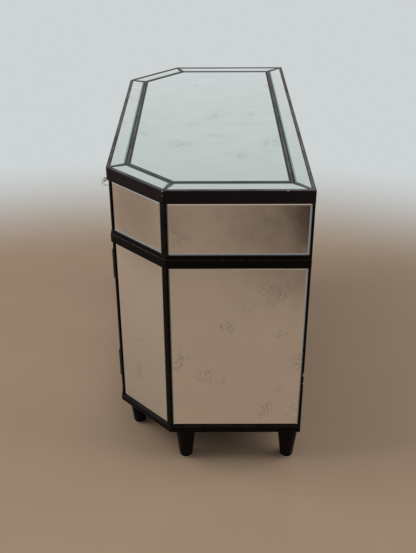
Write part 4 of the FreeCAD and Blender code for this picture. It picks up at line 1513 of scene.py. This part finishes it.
def edge_screws_tree():
    """Screws at even steps along the edge of an upright panel."""
    tree, given, end = node_tree("Screws Along Edge", [
        ("Spots", "Geometry"), ("Width", "Float"), ("Height", "Float"), ("Screws", "Int"),
        ("Head Radius", "Float"), ("Rise", "Float"), ("Finish", "Material")])
    sizes = {"Width": given["Width"], "Height": given["Height"]}
    edge = put(tree, "GeometryNodeCurvePrimitiveQuadrilateral", sizes).outputs[0]
    path = put(tree, "GeometryNodeResampleCurve", {"Curve": edge, "Count": given["Screws"]}).outputs[0]
    row = on_points(tree, path, cross_head(tree, given["Head Radius"], given["Rise"]))
    tipped = {"Geometry": row, "Rotation": (-math.pi / 2, 0.0, 0.0)}
    upright = put(tree, "GeometryNodeTransform", tipped).outputs[0]
    settle(tree, on_points(tree, given["Spots"], upright), given["Finish"], end)
    return tree


SCREWS = screws_tree()
EDGE_SCREWS = edge_screws_tree()
print(f"{len(SCREWS.nodes)} and {len(EDGE_SCREWS.nodes)} nodes")

# %% [markdown]
# ## The back panel
#
# The panel is screwed into the posts and boards round its edge. It lies a touch deeper here than its
# solid, so that the heads stay inside the cabinet's depth.

# %% The back panel and its screws
PANEL_SINK = 0.8 * MM
PANEL_MARGIN = 14.0 * MM
PANEL_SCREWS = 26
panel_low, panel_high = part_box("back_panel")
panel_middle = (panel_low + panel_high) / 2
panel = welded("back_panel")
for vertex in panel.verts:
    if vertex.co.y > panel_middle.y:
        vertex.co.y -= PANEL_SINK
add_piece("sunk_back_panel", panel, "case", SLOT_OF["back_panel"], ["back_panel"])
grown("panel_screws", EDGE_SCREWS, [(panel_middle.x, panel_high.y - PANEL_SINK, panel_middle.z)],
      "case", "plain_steel", [], Screws=PANEL_SCREWS, Head_Radius=3.6 * MM, Rise=0.6 * MM,
      Width=panel_high.x - panel_low.x - 2 * PANEL_MARGIN,
      Height=panel_high.z - panel_low.z - 2 * PANEL_MARGIN)
print(f"{PANEL_SCREWS} screws round the back panel, {PANEL_MARGIN / MM:.0f} mm in")

# %% [markdown]
# ## Hinge pins and hinge screws
#
# The heads of the hinge pins stand above and below the knuckles, each seated a tenth of a millimetre
# into them. They are turned pieces as well, so the lathe makes them where the joints' axes are.

# %% Heads of the hinge pins
PIN_HEAD = 1.3 * MM
PIN_RADIUS = 2.0 * MM
PIN_SEAT = 0.1 * MM
pins = [joint["pos_m"] for joint in frame["joints"] if "pos_m" in joint]
pin_spots = []
for low, high in solids_in("post_hinge_leaves"):
    axis = min(pins, key=lambda place: abs(place[0] - (low.x + high.x) / 2))
    pin_spots += [(axis[0], axis[1], level) for level in (high.z - PIN_SEAT, low.z + PIN_SEAT - PIN_HEAD)]
grown("pin_heads", LATHE, pin_spots, "case", "hinge_steel", [], Height=PIN_HEAD, Foot_Radius=PIN_RADIUS,
      Head_Radius=PIN_RADIUS, Foot_Ease=0.5 * MM, Head_Ease=0.5 * MM, Sides=24)
print(f"{len(pin_spots)} heads on the pins")

# %% [markdown]
# Each leaf of a hinge is held by three screws. The broad flat faces of a leaf are found on its own
# solid: a post's leaf shows the face towards the middle, a door's leaf the one away from it.

# %% Screws in the leaves
LEAF_SCREW_PLACES = (-27.0 * MM, 0.0, 27.0 * MM)
LEAF_SCREW_IN = 1.0 * MM
LEAF_AREA = 400.0 * MM * MM
LOOKS_ALONG_X = 0.99


def leaf_faces(node, outward):
    """Middle and facing of the broad faces of the leaves that look away from or towards the middle."""
    form = welded(node)
    faces = []
    for region in flat_regions(form):
        facing, place = region[0].normal.x, region[0].calc_center_median()
        if abs(facing) > LOOKS_ALONG_X and area(region) > LEAF_AREA and (facing * place.x > 0) == outward:
            faces.append((place, math.copysign(1.0, facing)))
    form.free()
    return faces


def leaf_screws(node, outward):
    """Three screws in each leaf of a node; returns how many."""
    faces = leaf_faces(node, outward)
    for facing, way in ((1.0, "plus"), (-1.0, "minus")):
        spots = [(place.x, place.y + LEAF_SCREW_IN, place.z + step)
                 for place, side in faces if side == facing for step in LEAF_SCREW_PLACES]
        if spots:
            grown(f"screws_{node}_{way}", SCREWS, spots, BODY_OF[node], "plain_steel", [],
                  Head_Radius=2.2 * MM, Rise=0.15 * MM, Facing=(facing, 0.0, 0.0))
    return len(LEAF_SCREW_PLACES) * len(faces)


screw_count = sum(leaf_screws(node, outward=node.startswith("door")) for node in HINGES)
print(f"{screw_count} screws in the leaves of the hinges")
